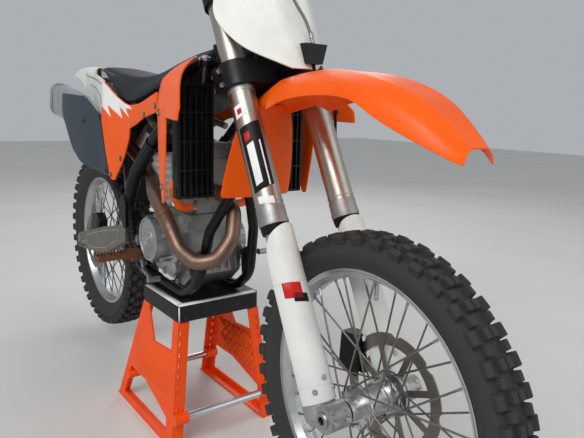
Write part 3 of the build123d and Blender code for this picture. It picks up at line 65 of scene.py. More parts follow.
class MotocrossColours(bpy.types.PropertyGroup):
    """Colours of the bike's finishes"""
    orange: colour_property("Body orange", "Fenders, shrouds and side panels", "#ff6104")
    white: colour_property("White plastic", "Tail, front plate and fork guards", "#e4e6e0")
    frame_paint: colour_property("Frame paint", "Painted steel tubes of the frame", "#0a0b0c")
    seat_cover: colour_property("Seat cover", "Grained cover of the seat", "#20262d")
    side_plate: colour_property("Side plate", "Number plates beside the tail", "#39424c")
    stand: colour_property("Stand sides", "Moulded sides of the paddock stand", "#ff5206")
    fork: colour_property("Fork tubes", "Anodised outer tubes of the fork", "#bcb5aa")
    floor: colour_property("Floor", "Studio floor and backdrop", "#d9d8d4")


class MotocrossSizes(bpy.types.PropertyGroup):
    """Sizes of the camera and of the fine pieces"""
    lens: FloatProperty(name="Lens", description="Focal length of the camera", default=35.11, min=10, max=200,
                        unit="CAMERA")
    grain: FloatProperty(name="Seat grain", description="Distance between the bumps of the seat cover",
                         default=0.003, min=0.001, max=0.02, unit="LENGTH", precision=4)


def add_node(tree, kind, settings=None, links=None, stops=()):
    """Add one shader node with its settings, the links into it and the stops of a colour ramp"""
    node = tree.nodes.new(kind)
    for name, value in (settings or {}).items():
        if isinstance(name, int) or name in node.inputs:
            node.inputs[name].default_value = value
        else:
            setattr(node, name, value)
    for name, source in (links or {}).items():
        tree.links.new(source, node.inputs[name])
    if stops:
        while len(node.color_ramp.elements) < len(stops):
            node.color_ramp.elements.new(0.5)
        for element, (place, colour) in zip(node.color_ramp.elements, stops):
            element.position = place
            element.color = (*colour, 1) if isinstance(colour, tuple) else (colour, colour, colour, 1)
    return node


def material(name, shader_settings):
    """A new material with its Principled shader and its Object coordinates"""
    made = bpy.data.materials.new(name)
    made.use_nodes = True
    tree = made.node_tree
    tree.nodes.clear()
    shader = add_node(tree, "ShaderNodeBsdfPrincipled", shader_settings)
    add_node(tree, "ShaderNodeOutputMaterial", links={"Surface": shader.outputs["BSDF"]})
    place = add_node(tree, "ShaderNodeTexCoord").outputs["Object"]
    return made, tree, shader, place


def toned(colour, factor):
    """A colour made darker or lighter"""
    return tuple(min(1, channel * factor) for channel in colour)


def worn(tree, shader, own, dirt, dirt_colour, relief, strength, depth):
    """Link a shader to its own colour under a mask of dirt, and to a bump from its relief"""
    mixed = add_node(tree, "ShaderNodeMix", {"data_type": "RGBA", 7: (*linear(dirt_colour), 1)},
                     {"Factor": dirt, 6: own})
    bump = add_node(tree, "ShaderNodeBump", {"Strength": strength, "Distance": depth}, {"Height": relief})
    tree.links.new(mixed.outputs[2], shader.inputs["Base Color"])
    tree.links.new(bump.outputs["Normal"], shader.inputs["Normal"])


def moulded(name, colour, roughness=0.34, grain=0.0008, depth=0.0002, dust=0.12, dust_colour="#8d7a60"):
    """Moulded plastic, vinyl or enamel: a soft gloss, with faint tones and dust where it was scuffed"""
    shine = {"Roughness": roughness, "IOR": 1.49, "Specular IOR Level": 0.28}
    made, tree, shader, place = material(name, shine)
    broad = add_node(tree, "ShaderNodeTexNoise", {"Scale": 9.0, "Detail": 6.0, "Roughness": 0.62},
                     {"Vector": place}).outputs["Fac"]
    scuff = add_node(tree, "ShaderNodeTexNoise", {"Scale": 60.0, "Detail": 8.0, "Distortion": 1.2},
                     {"Vector": place}).outputs["Fac"]
    fine = add_node(tree, "ShaderNodeTexNoise", {"Scale": 1 / grain, "Detail": 2.0}, {"Vector": place})
    tint = add_node(tree, "ShaderNodeValToRGB", links={"Fac": broad},
                    stops=((0.32, toned(colour, 0.90)), (0.55, tuple(colour)), (0.75, toned(colour, 1.05))))
    dusty = add_node(tree, "ShaderNodeValToRGB", links={"Fac": scuff}, stops=((0.58, 0.0), (0.80, dust)))
    gloss = add_node(tree, "ShaderNodeValToRGB", links={"Fac": scuff},
                     stops=((0.3, roughness), (0.8, min(1, roughness + 0.16))))
    tree.links.new(gloss.outputs["Color"], shader.inputs["Roughness"])
    worn(tree, shader, tint.outputs["Color"], dusty.outputs["Color"], dust_colour, fine.outputs["Fac"], 0.12,
         depth)
    return made


def bare_metal(name, colour, roughness=0.3, stretch=(1, 1, 1), grain=0.0012, depth=0.0001, dirt=0.15,
               dirt_colour="#4a3f34", metallic=1.0):
    """Bare or anodised metal: fine marks along the way it was worked, with grime in patches"""
    made, tree, shader, place = material(name, {"Metallic": metallic, "Roughness": roughness})
    lined = add_node(tree, "ShaderNodeMapping", {"Scale": stretch}, {"Vector": place})
    fine = add_node(tree, "ShaderNodeTexNoise", {"Scale": 1 / grain, "Detail": 3.0, "Roughness": 0.6},
                    {"Vector": lined.outputs["Vector"]}).outputs["Fac"]
    broad = add_node(tree, "ShaderNodeTexNoise", {"Scale": 22.0, "Detail": 7.0, "Roughness": 0.65},
                     {"Vector": place}).outputs["Fac"]
    tint = add_node(tree, "ShaderNodeValToRGB", links={"Fac": fine},
                    stops=((0.25, toned(colour, 0.82)), (0.6, tuple(colour)), (0.85, toned(colour, 1.08))))
    grime = add_node(tree, "ShaderNodeValToRGB", links={"Fac": broad}, stops=((0.50, 0.0), (0.78, dirt)))
    gloss = add_node(tree, "ShaderNodeValToRGB", links={"Fac": broad},
                     stops=((0.3, roughness), (0.75, min(1, roughness + 0.2))))
    tree.links.new(gloss.outputs["Color"], shader.inputs["Roughness"])
    worn(tree, shader, tint.outputs["Color"], grime.outputs["Color"], dirt_colour, fine, 0.25, depth)
    return made


def soft_rubber(name, colour, roughness=0.72, dust=0.35, dust_colour="#6f6252", grain=0.0015):
    """Rubber: dull, with dried dust in its fine grain"""
    shine = {"Roughness": roughness, "IOR": 1.52, "Specular IOR Level": 0.14}
    made, tree, shader, place = material(name, shine)
    broad = add_node(tree, "ShaderNodeTexNoise", {"Scale": 26.0, "Detail": 9.0, "Roughness": 0.7},
                     {"Vector": place})
    fine = add_node(tree, "ShaderNodeTexNoise", {"Scale": 1 / grain, "Detail": 3.0}, {"Vector": place})
    dusty = add_node(tree, "ShaderNodeValToRGB", links={"Fac": broad.outputs["Fac"]},
                     stops=((0.42, 0.0), (0.82, dust)))
    own = add_node(tree, "ShaderNodeRGB").outputs["Color"]
    own.default_value = (*colour, 1)
    worn(tree, shader, own, dusty.outputs["Color"], dust_colour, fine.outputs["Fac"], 0.3, 0.0004)
    return made


def finishes(colours):
    """Every finish by the name of the real material"""
    return {
        # Injection-moulded polypropylene of the body: an even soft gloss, faintly scuffed
        "moulded_orange": moulded("moulded_orange", colours.orange, 0.30, dust=0.05),
        "moulded_white": moulded("moulded_white", colours.white, 0.33, dust=0.10),
        "moulded_black": moulded("moulded_black", linear("#0f1012"), 0.42, dust=0.14),
        "side_plate_plastic": moulded("side_plate_plastic", colours.side_plate, 0.36, dust=0.10),
        # Reinforced nylon of the stand: a little duller, and dusty on top where boots and mud land
        "stand_plastic": moulded("stand_plastic", colours.stand, 0.36, dust=0.08),
        "stand_black_plastic": moulded("stand_black_plastic", linear("#1a1b1d"), 0.45, dust=0.22),
        # Baked enamel on steel: the deepest gloss, with dried mud
        "frame_enamel": moulded("frame_enamel", colours.frame_paint, 0.26, grain=0.002, dust=0.18),
        "spring_enamel": moulded("spring_enamel", linear("#dcdcd8"), 0.30),
        # Silicone hose: smooth and strong in colour
        "orange_silicone": moulded("orange_silicone", linear("#ff6a1c"), 0.38, dust=0.10),
        # Embossed vinyl of the seat: matt, with a coarse grain that breaks the light
        "seat_vinyl": moulded("seat_vinyl", colours.seat_cover, 0.55, grain=0.0018, depth=0.0006, dust=0.10),
        # Printed vinyl film: flat and glossy
        "red_vinyl": moulded("red_vinyl", linear("#c8201c"), 0.28, dust=0.04),
        "white_vinyl": moulded("white_vinyl", linear("#f6f6f5"), 0.28, dust=0.04),
        "grey_vinyl": moulded("grey_vinyl", linear("#9aa0a6"), 0.30, dust=0.05),
        # Vulcanised rubber: near black and dull, greyed by dust
        "tyre_rubber": soft_rubber("tyre_rubber", linear("#0b0c0e"), 0.58, dust=0.07, dust_colour="#4b463f"),
        "grip_rubber": soft_rubber("grip_rubber", linear("#141516"), dust=0.12),
        "hose_rubber": soft_rubber("hose_rubber", linear("#101112"), 0.5, dust=0.10),
        # Cast aluminium: a greyish, slightly rough skin that holds grime
        "cast_alloy": bare_metal("cast_alloy", linear("#8e8b80"), 0.48, grain=0.0016, depth=0.0002, dirt=0.4),
        "engine_alloy": bare_metal("engine_alloy", linear("#a3a3a2"), 0.46, grain=0.0020, depth=0.0003,
                                   dirt=0.50),
        "bright_casting": bare_metal("bright_casting", linear("#b2b1ae"), 0.40, dirt=0.3),
        # Brushed aluminium: bright lines one way, from long strokes
        "brushed_cover": bare_metal("brushed_cover", linear("#b9babb"), 0.34, (1, 12, 1), dirt=0.25),
        "stand_tube_alloy": bare_metal("stand_tube_alloy", linear("#d3d4d6"), 0.24, (1, 14, 1), dirt=0.08),
        # Polished aluminium: bright and clear, dulled in patches
        "polished_alloy": bare_metal("polished_alloy", linear("#cfd0d1"), 0.27, dirt=0.26),
        # Anodised aluminium: a tinted satin skin over the metal
        "rim_anodising": bare_metal("rim_anodising", linear("#c9cacb"), 0.26, dirt=0.25),
        "fork_anodising": bare_metal("fork_anodising", colours.fork, 0.27, (12, 12, 1), dirt=0.12),
        "black_anodising": bare_metal("black_anodising", linear("#141517"), 0.34, dirt=0.10, metallic=0.5),
        "anodised_orange": bare_metal("anodised_orange", linear("#e0591c"), 0.28, dirt=0.05),
        # Plain and zinc-plated steel: grey to silver, with grime in patches
        "plain_steel": bare_metal("plain_steel", linear("#a5a5a6"), 0.30, dirt=0.35),
        "zinc_steel": bare_metal("zinc_steel", linear("#b9b8b4"), 0.32, dirt=0.3),
        "spoke_steel": bare_metal("spoke_steel", linear("#83807c"), 0.32, dirt=0.45),
        "disc_steel": bare_metal("disc_steel", linear("#8b857e"), 0.34, dirt=0.45),
        # Oiled chain steel: brownish, nearly black where the oil holds dirt
        "chain_steel": bare_metal("chain_steel", linear("#8b8272"), 0.36, dirt=0.6, dirt_colour="#2c2621"),
        # Heat-stained steel of the header: straw and brown patches
        "heated_steel": bare_metal("heated_steel", linear("#8a7263"), 0.38, grain=0.004, dirt=0.55,
                                   dirt_colour="#5c3b2a", metallic=0.92),
        # Rusted steel: warm, rough and half metallic
        "rusty_steel": bare_metal("rusty_steel", linear("#8a6248"), 0.50, grain=0.003, dirt=0.75,
                                  dirt_colour="#4a2f20", metallic=0.75),
        # Braided steel over the brake hose, drawn coarser than the real braid so that it shows
        "braided_steel": bare_metal("braided_steel", linear("#8f9296"), 0.38, (1, 1, 1), 0.0016, 0.0005,
                                    dirt=0.1),
    }


NODE_FINISHES = {
    "tyre_rubber": ("front_tyre", "rear_tyre"),
    "rim_anodising": ("front_rim", "rear_rim"),
    "bright_casting": ("fork_sliders", "shock_absorber"),
    "spoke_steel": ("front_spokes", "rear_spokes"),
    "disc_steel": ("front_disc", "rear_disc"),
    "polished_alloy": ("front_hub", "rear_hub", "silencer"),
    "plain_steel": ("rear_sprocket", "front_axle", "rear_axle", "foot_levers"),
    "chain_steel": ("chain",),
    "frame_enamel": ("frame",),
    "cast_alloy": ("swingarm", "subframe"),
    "engine_alloy": ("crankcase", "cylinder"),
    "brushed_cover": ("clutch_cover",),
    "heated_steel": ("header_pipe",),
    "rusty_steel": ("footpegs",),
    "black_anodising": ("radiators", "lower_clamp", "upper_clamp", "handlebar", "bar_controls",
                        "rear_caliper", "front_caliper"),
    "moulded_black": ("radiator_guards", "fuel_tank", "airbox", "chain_guide", "frame_guards", "hose_guide"),
    "orange_silicone": ("coolant_hoses",),
    "seat_vinyl": ("seat",),
    "moulded_white": ("rear_fender", "front_plate", "fork_guards"),
    "moulded_orange": ("side_panels", "shrouds", "front_fender"),
    "side_plate_plastic": ("side_plates",),
    "spring_enamel": ("shock_spring",),
    "fork_anodising": ("fork_outers",),
    "stand_plastic": ("stand_sides",),
    "stand_black_plastic": ("stand_top",),
    "stand_tube_alloy": ("stand_tubes",),
    "grip_rubber": ("grips",),
    "hose_rubber": ("brake_hose",),
}


class MOTOCROSS_OT_finishes(bpy.types.Operator):
    """Make every finish and give each CAD node its own"""
    bl_idname = "motocross.finishes"
    bl_label = "Finishes"

    def execute(self, context):
        made = finishes(context.scene.motocross_colours)
        for finish, nodes in NODE_FINISHES.items():
            for node in nodes:
                NODES[node].data.materials.clear()
                NODES[node].data.materials.append(made[finish])
        return {"FINISHED"}


# Places and directions shared with the CAD frame, in metres
FRONT_AXLE = Vector((0.735, 0, 0.356))
REAR_AXLE = Vector((-0.745, 0, 0.398))
AHEAD = Vector((1, 0, 0))
ACROSS = Vector((0, 1, 0))
UPRIGHT = Vector((0, 0, 1))
STILL = Matrix.Identity(3)
RAKE = math.radians(26.5)
STEER_FOOT = Vector((0.684, 0, 0.3306))
STEER_AHEAD = Vector((math.cos(RAKE), 0, math.sin(RAKE)))
STEER_UP = Vector((-math.sin(RAKE), 0, math.cos(RAKE)))
STEER_TURN = Matrix((STEER_AHEAD, ACROSS, STEER_UP)).transposed()
FORK_AHEAD = 0.022
FORK_SIDE = 0.100
HANDS = (-1, 1)


def at_fork(ahead, side, up):
    """A point given in metres ahead of the steering axis, to the left and up along it"""
    return STEER_FOOT + STEER_AHEAD * ahead + ACROSS * side + STEER_UP * up


def aimed(at, axis):
    """A matrix at a point with its Z along an axis"""
    return Matrix.Translation(at) @ Vector(axis).to_track_quat("Z", "Y").to_matrix().to_4x4()


def around(count, first):
    """Directions spread evenly round a line across the bike, the first at an angle in degrees"""
    for number in range(count):
        angle = math.radians(360 / count * number + first)
        yield Vector((math.cos(angle), 0, math.sin(angle)))


def put(name, shape, finish, body, crease=35):
    """Make a finished shape a piece of the object that moves with a body"""
    bmesh.ops.recalc_face_normals(shape, faces=shape.faces)
    mesh = bpy.data.meshes.new(name)
    shape.to_mesh(mesh)
    shape.free()
    piece = bpy.data.objects.new(name, mesh)
    bpy.context.scene.collection.objects.link(piece)
    mesh.materials.append(bpy.data.materials[finish])
    mesh.shade_smooth()
    if crease:
        mesh.set_sharp_from_angle(angle=math.radians(crease))
    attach(piece, body)
    return piece


def turned(shape, at, axis, steps, sides=24):
    """Add a turned form along an axis from a table of distances and radii; its ends are closed"""
    place = aimed(at, axis)
    start, radius = steps[0]
    ring = bmesh.ops.create_circle(shape, cap_ends=True, segments=sides, radius=radius,
                                   matrix=place @ Matrix.Translation((0, 0, start)))
    face = ring["verts"][0].link_faces[0]
    for distance, next_radius in steps[1:]:
        grown = bmesh.ops.extrude_face_region(shape, geom=[face])["geom"]
        face = next(part for part in grown if isinstance(part, bmesh.types.BMFace))
        bmesh.ops.translate(shape, vec=place.to_3x3() @ Vector((0, 0, distance - start)), verts=face.verts)
        factor = next_radius / radius
        bmesh.ops.scale(shape, vec=(factor, factor, 1), space=place.inverted(), verts=face.verts)
        start, radius = distance, next_radius
    return face


def lathe(shape, at, axis, profile, steps, closed=True):
    """Spin a profile of distances along the axis and radii into a ring"""
    place = aimed(at, axis)
    points = [shape.verts.new(place @ Vector((radius, 0, along))) for along, radius in profile]
    pairs = list(zip(points, points[1:])) + ([(points[-1], points[0])] if closed else [])
    lines = [shape.edges.new(pair) for pair in pairs]
    bmesh.ops.spin(shape, geom=points + lines, cent=at, axis=axis, angle=math.tau, steps=steps,
                   use_merge=True)


def band(shape, at, axis, low, high, inner, outer, steps):
    """Add a plain ring between two distances along an axis and two radii"""
    lathe(shape, at, axis, ((low, inner), (low, outer), (high, outer), (high, inner)), steps)


def block(shape, at, turn, size, narrow=1.0, edge=0.0):
    """Add a block with its top drawn in and its edges rounded"""
    place = Matrix.Translation(at) @ turn.to_4x4()
    made = bmesh.ops.create_cube(shape, size=1, matrix=place @ Matrix.Diagonal((*size, 1)))["verts"]
    inverse = place.inverted()
    top = [vert for vert in made if (inverse @ vert.co).z > 0]
    bmesh.ops.scale(shape, vec=(narrow, narrow, 1), space=inverse, verts=top)
    if edge:
        lines = {line for vert in made for line in vert.link_edges}
        bmesh.ops.bevel(shape, geom=list(lines), offset=edge, offset_type="OFFSET", segments=1, profile=0.5,
                        affect="EDGES", material=-1)


def bolt(shape, at, axis, radius, height, washer=1.5):
    """Add a hexagon flange bolt head standing on a surface"""
    flange = radius * washer
    turned(shape, at, axis, ((0, flange), (height * 0.3, flange), (height * 0.34, radius * 1.08)), 20)
    turned(shape, at, axis, ((0, radius), (height * 0.86, radius), (height, radius * 0.86)), 6)


def socket_bolt(shape, at, axis, radius, height):
    """Add a round bolt head with a hexagon socket"""
    head = ((0, radius), (height * 0.85, radius), (height, radius * 0.9), (height, radius * 0.52))
    turned(shape, at, axis, head, 20)
    socket = ((-height * 0.02, radius * 0.5), (0.00002, radius * 0.5))
    turned(shape, at + Vector(axis).normalized() * height * 1.001, axis, socket, 6)


def bossed_bolt(cast, bolts, at, axis, boss, radius, height, sides=16):
    """Add a cast boss, given as its length and the radii of its foot and its end, with a bolt on it"""
    length, foot, end = boss
    turned(cast, at, axis, ((-0.001, foot), (length, end)), sides)
    bolt(bolts, at + axis * (length - 0.0002), axis, radius, height, 1.35)


def skin(shape, sections, closed=False):
    """Add a sheet through rows of points, each row an open or closed line"""
    rows = []
    for points in sections:
        dots = [shape.verts.new(point) for point in points]
        pairs = list(zip(dots, dots[1:])) + ([(dots[-1], dots[0])] if closed else [])
        rows.append([shape.edges.new(pair) for pair in pairs])
    for first, second in zip(rows, rows[1:]):
        bmesh.ops.bridge_loops(shape, edges=first + second)
    return rows


def mirrored(half, middle=()):
    """A row of points across the bike: one half turned over, what lies between, and the half itself"""
    return [*((-across, value) for across, value in half), *middle, *reversed(half)]


# Wheels
WHEELS = (
    # name, centre, rim radius at the bead seat, half width of the rim
    ("front", FRONT_AXLE, 0.275, 0.025),
    ("rear", REAR_AXLE, 0.252, 0.031),
)
RIM_DEPTH = 0.021
TYRE_SIZES = {
    # radius over the blocks, half width, block height
    "front": (0.347, 0.042, 0.012),
    "rear": (0.337, 0.056, 0.015),
}
TYRE_BLOCKS = {
    # shift in pitches, distance from the middle, width, length, lean outwards in degrees
    "front": (
        (0, 0.0088, 0.0150, 0.021, 2),
        (0.5, 0.0222, 0.0140, 0.020, 13),
        (0, 0.0355, 0.0140, 0.027, 31),
    ),
    "rear": (
        (0, 0.0115, 0.0190, 0.024, 2),
        (0.5, 0.0300, 0.0180, 0.023, 12),
        (0, 0.0480, 0.0170, 0.030, 30),
    ),
}
BLOCK_PITCHES = 42


def carcass(radius, half, seat_r, seat_half):
    """The tyre's section from its middle to a bead, as distances across and radii"""
    return ((seat_half + 0.0006, seat_r + 0.0003), (seat_half + 0.004, seat_r + 0.005),
            (seat_half + 0.006, seat_r + 0.012), (half * 0.97, radius - 0.036), (half, radius - 0.026),
            (half * 0.93, radius - 0.015), (half * 0.72, radius - 0.005), (half * 0.4, radius))


class MOTOCROSS_OT_tyres(bpy.types.Operator):
    """Make both knobbed tyres: the carcass with its bead lines and the blocks with their cut edges"""
    bl_idname = "motocross.tyres"
    bl_label = "Tyres"

    def execute(self, context):
        for name, centre, seat_r, seat_half in WHEELS:
            shape = bmesh.new()
            radius, half, depth = TYRE_SIZES[name]
            tread = radius - depth
            inside = ((half * 0.8, tread - 0.034), (0, tread - 0.02), (-half * 0.8, tread - 0.034))
            lathe(shape, centre, ACROSS, (*mirrored(carcass(tread, half, seat_r, seat_half)), *inside), 120)
            for shift, middle, width, length, lean in TYRE_BLOCKS[name]:
                top = radius - max(0.0, middle / half - 0.25) ** 2 * depth
                root = tread - 0.003 - 0.010 * (middle / half) ** 2
                for hand in HANDS:
                    for number in range(BLOCK_PITCHES):
                        angle = math.tau * (number + shift) / BLOCK_PITCHES
                        out = Vector((math.cos(angle), 0, math.sin(angle)))
                        turn = (Matrix.Rotation(math.pi / 2 - angle, 3, "Y")
                                @ Matrix.Rotation(math.radians(-lean) * hand, 3, "X"))
                        at = centre + out * (top + root) / 2 + ACROSS * middle * hand
                        block(shape, at, turn, (length, width, top - root), 0.86, 0.0012)
            node = name + "_tyre"
            tyre = put(node + "_rubber", shape, "tyre_rubber", name + "_wheel", 32)
            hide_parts(node)
        return {"FINISHED"}


# Spokes as the CAD frame lays them out
SPOKES = 36
FLANGE_R = {"front": 0.044, "rear": 0.054}
SPOKE_TURN = math.radians(60)
FLANGE_HALF = 0.036
FLANGE_OUTSIDE = 0.0079
FLANGE_INSIDE = -0.0049
RIM_STAGGER = 0.007
NIPPLE = ((-0.0006, 0.0034), (0.003, 0.0034), (0.004, 0.0029), (0.015, 0.0027), (0.0165, 0.0023))
SPOKE_HEAD = ((-0.002, 0.0036), (0.0012, 0.0036), (0.0022, 0.002))


def round_axle(centre, angle, radius, across):
    """A point round an axle, given by its angle, its radius and its distance across"""
    return centre + Vector((radius * math.cos(angle), across, radius * math.sin(angle)))


class MOTOCROSS_OT_nipples(bpy.types.Operator):
    """Make the spoke nipples at the rims and the spoke heads at the hub flanges"""
    bl_idname = "motocross.nipples"
    bl_label = "Spoke nipples"

    def execute(self, context):
        for name, centre, rim_r, rim_half in WHEELS:
            shape = bmesh.new()
            hub_r = FLANGE_R[name] - 0.006
            end_r = rim_r - RIM_DEPTH - 0.001
            for number in range(SPOKES):
                rim_angle = math.tau * number / SPOKES
                side = -1 if number % 2 else 1
                turn = 1 if number % 4 < 2 else -1
                across = FLANGE_HALF + (FLANGE_OUTSIDE if turn > 0 else FLANGE_INSIDE)
                start = round_axle(centre, rim_angle + turn * SPOKE_TURN, hub_r, side * across)
                end = round_axle(centre, rim_angle, end_r, side * RIM_STAGGER)
                turned(shape, end, (start - end).normalized(), NIPPLE, 8)
                turned(shape, start + ACROSS * side * turn * 0.0024, ACROSS * side * turn, SPOKE_HEAD, 8)
            put(name + "_nipples", shape, "plain_steel", name + "_wheel")
        return {"FINISHED"}


# Bodywork, from the same tables as the CAD frame, in metres
def millimetres(table):
    """A table of rows in millimetres, in metres"""
    return [tuple(value / 1000 for value in row) for row in table]


def between(table, place):
    """The second column of a table at a place in its first column, straight between rows and beyond them"""
    rows = sorted(table)
    for low, high in zip(rows, rows[1:]):
        if place <= high[0] or high == rows[-1]:
            part = (place - low[0]) / (high[0] - low[0])
            return low[1] + part * (high[1] - low[1])


def panel(shape, outline, plan, corner=0.010, step=0.024, crown=0.0):
    """Add the right-hand and left-hand sheets of a side panel: a rounded outline laid on a curved plan"""
    for hand in HANDS:
        dots = [shape.verts.new((x, 0, z)) for x, z in outline]
        shape.faces.new(dots)
        if corner:
            bmesh.ops.bevel(shape, geom=dots, offset=corner, offset_type="OFFSET", segments=4, profile=0.5,
                            affect="VERTICES", material=-1)
        sheet = {face for face in shape.faces if all(abs(vert.co.y) < 1e-9 for vert in face.verts)}
        for axis in (0, 2):
            low = min(vert.co[axis] for face in sheet for vert in face.verts)
            high = max(vert.co[axis] for face in sheet for vert in face.verts)
            for number in range(1, int((high - low) / step) + 1):
                at = Vector((0, 0, 0))
                at[axis] = low + number * step
                normal = Vector((0, 0, 0))
                normal[axis] = 1
                parts = [part for face in sheet for part in (face, *face.edges, *face.verts)]
                cut = bmesh.ops.bisect_plane(shape, geom=list(set(parts)), plane_co=at, plane_no=normal)
                sheet = {part for part in cut["geom"] if isinstance(part, bmesh.types.BMFace)}
        middle = sum(z for x, z in outline) / len(outline)
        reach = max(abs(z - middle) for x, z in outline)
        for vert in {vert for face in sheet for vert in face.verts}:
            bulge = crown * (1 - ((vert.co.z - middle) / reach) ** 2)
            vert.co.y = hand * (between(plan, vert.co.x) + bulge)


def thicken(piece, thickness, edge, offset=-1.0):
    """Give a sheet its wall and a rounded edge"""
    wall = piece.modifiers.new("wall", "SOLIDIFY")
    wall.thickness = thickness
    wall.offset = offset
    rounded = piece.modifiers.new("edge", "BEVEL")
    rounded.width = edge
    rounded.segments = 2
    rounded.limit_method = "ANGLE"
    rounded.angle_limit = math.radians(50)


def smoothed(piece, level):
    """Subdivide a sheet to the same level in the view and in the render"""
    finer = piece.modifiers.new("smooth", "SUBSURF")
    finer.levels = finer.render_levels = level


FENDER = millimetres((
    # x, half width, crest, edge
    (340, 55, 943, 915), (380, 60, 963, 925), (427, 64, 986, 935), (448, 66, 991, 940), (456, 80, 992, 936),
    (471, 92, 993, 923), (523, 95, 1001, 947), (620, 95, 1011, 958), (714, 95, 998, 955), (753, 94, 988, 943),
    (788, 93, 979, 920), (857, 80, 950, 889), (910, 62, 900, 865), (932, 46, 883, 853), (940, 38, 878, 850),
))


FENDER_SECTION = ((1.0, 0.0), (0.985, 0.16), (0.93, 0.42), (0.86, 0.62), (0.70, 0.80), (0.56, 0.93),
                  (0.48, 1.0), (0.30, 1.0), (0.12, 0.985))
FLAP = (
    # height from the fender's rear edge, half width
    (0.010, 0.064), (-0.05, 0.080), (-0.11, 0.091), (-0.17, 0.098), (-0.211, 0.100), (-0.219, 0.098),
)
FLAP_PLACE = Matrix.Translation((0.352, 0, 0.930)) @ Matrix.Rotation(math.radians(13.5), 4, "Y")
FLAP_DOME = 0.005


def fender_row(x, half, crest, edge):
    """One row of the front fender from its left edge over the crown to its right edge"""
    section = mirrored(FENDER_SECTION, [(0, 0.98)])
    return [(x, across * half, edge + up * (crest - edge)) for across, up in section]


def flap_row(up, half):
    """One row of the fender's flap, slightly domed to the front"""
    return [FLAP_PLACE @ Vector((FLAP_DOME * (1 - part ** 2) + 0.0015, half * part, up))
            for part in (number / 4 for number in range(-4, 5))]


class MOTOCROSS_OT_front_fender(bpy.types.Operator):
    """Make the front fender: its long blade, the skirts beside the wheel and the flap behind the fork"""
    bl_idname = "motocross.front_fender"
    bl_label = "Front fender"

    def execute(self, context):
        shape = bmesh.new()
        skin(shape, [fender_row(*row) for row in FENDER])
        blade = put("front_fender_blade", shape, "moulded_orange", "steering", 0)
        smoothed(blade, 2)
        thicken(blade, 0.003, 0.0008)
        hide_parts("front_fender")
        shape = bmesh.new()
        skin(shape, [flap_row(*row) for row in FLAP])
        flap = put("front_fender_flap", shape, "moulded_orange", "steering", 0)
        smoothed(flap, 1)
        thicken(flap, 0.0028, 0.0008, 0.0)
        return {"FINISHED"}


PLATE = millimetres((
    # z, middle x, side x, half width
    (1014, 498, 487, 34), (1030, 491, 460, 66), (1052, 482, 410, 106), (1090, 466, 368, 130),
    (1123, 452, 340, 143), (1165, 434, 334, 136), (1200, 420, 335, 120), (1235, 406, 352, 92),
    (1258, 397, 368, 62),
))
PLATE_SECTION = ((1.0, 0.0), (0.96, 0.05), (0.80, 0.26), (0.60, 0.56), (0.42, 0.82), (0.32, 0.95),
                 (0.25, 1.0), (0.12, 1.0))


def plate_row(z, middle, side, half):
    """One row of the front plate from its left edge over the flat middle to its right edge"""
    section = mirrored(PLATE_SECTION, [(0, 1.0)])
    return [(side + (middle - side) * ahead, half * across, z) for across, ahead in section]


class MOTOCROSS_OT_front_plate(bpy.types.Operator):
    """Make the front number plate: a bent sheet with a flat middle and swept wings"""
    bl_idname = "motocross.front_plate"
    bl_label = "Front plate"

    def execute(self, context):
        shape = bmesh.new()
        skin(shape, [plate_row(*row) for row in PLATE])
        plate = put("front_plate_sheet", shape, "moulded_white", "steering", 0)
        smoothed(plate, 2)
        thicken(plate, 0.0032, 0.0009, 1.0)
        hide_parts("front_plate")
        shape = bmesh.new()
        block(shape, at_fork(0.09875, 0, 0.725), STEER_TURN, (0.0705, 0.030, 0.020))
        put("front_plate_bracket", shape, "moulded_black", "steering")
        return {"FINISHED"}


SHROUD = millimetres((
    # x, then distance out and height of the top, the middle and the lower edge
    (44.3, 126, 986, 137, 960, 141, 914), (76, 123, 1006, 148, 974, 154, 914),
    (110, 120, 1024, 160, 985, 168, 914), (150, 119, 1034, 176, 990, 187, 914),
    (185, 118, 1040, 190, 990, 203, 914), (212, 118, 1045, 198, 988, 209, 911),
    (234, 120, 1048, 203, 985, 213, 908), (275, 165, 1028, 213, 970, 224, 905),
    (313, 206, 1000, 222, 955, 233, 903), (352, 228, 962, 236, 932, 243, 901),
    (384, 243, 929, 247, 915, 249, 900),
))
LEG_PLAN = millimetres(((180, 202), (250, 216), (275, 220)))
LEG = millimetres(((188, 935), (264, 935), (260, 870), (250, 790), (235, 703), (222, 703), (192, 790)))


def shroud_row(x, top_out, top, mid_out, mid, low_out, low):
    """One row of a shroud from its top edge round its shoulder to its lower edge"""
    row = []
    for part in (0.0, 0.12, 0.45, 0.8, 1.0):
        row.append((x, top_out + (mid_out - top_out) * part, top + (mid - top) * part ** 1.35))
    for part in (0.3, 0.65, 0.94, 1.0):
        row.append((x, mid_out + (low_out - mid_out) * part, mid + (low - mid) * part))
    return row


class MOTOCROSS_OT_shrouds(bpy.types.Operator):
    """Make the radiator shrouds: the wing round the tank and the leg down the radiator's side"""
    bl_idname = "motocross.shrouds"
    bl_label = "Shrouds"

    def execute(self, context):
        shape = bmesh.new()
        for hand in HANDS:
            skin(shape, [[(x, hand * y, z) for x, y, z in shroud_row(*row)] for row in SHROUD])
        wing = put("shroud_wings", shape, "moulded_orange", "chassis", 0)
        smoothed(wing, 2)
        thicken(wing, 0.004, 0.0012, 0.0)
        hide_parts("shrouds")
        shape = bmesh.new()
        panel(shape, LEG, LEG_PLAN, 0.004, 0.02)
        leg = put("shroud_legs", shape, "moulded_orange", "chassis")
        thicken(leg, 0.004, 0.0012, 0.0)
        return {"FINISHED"}


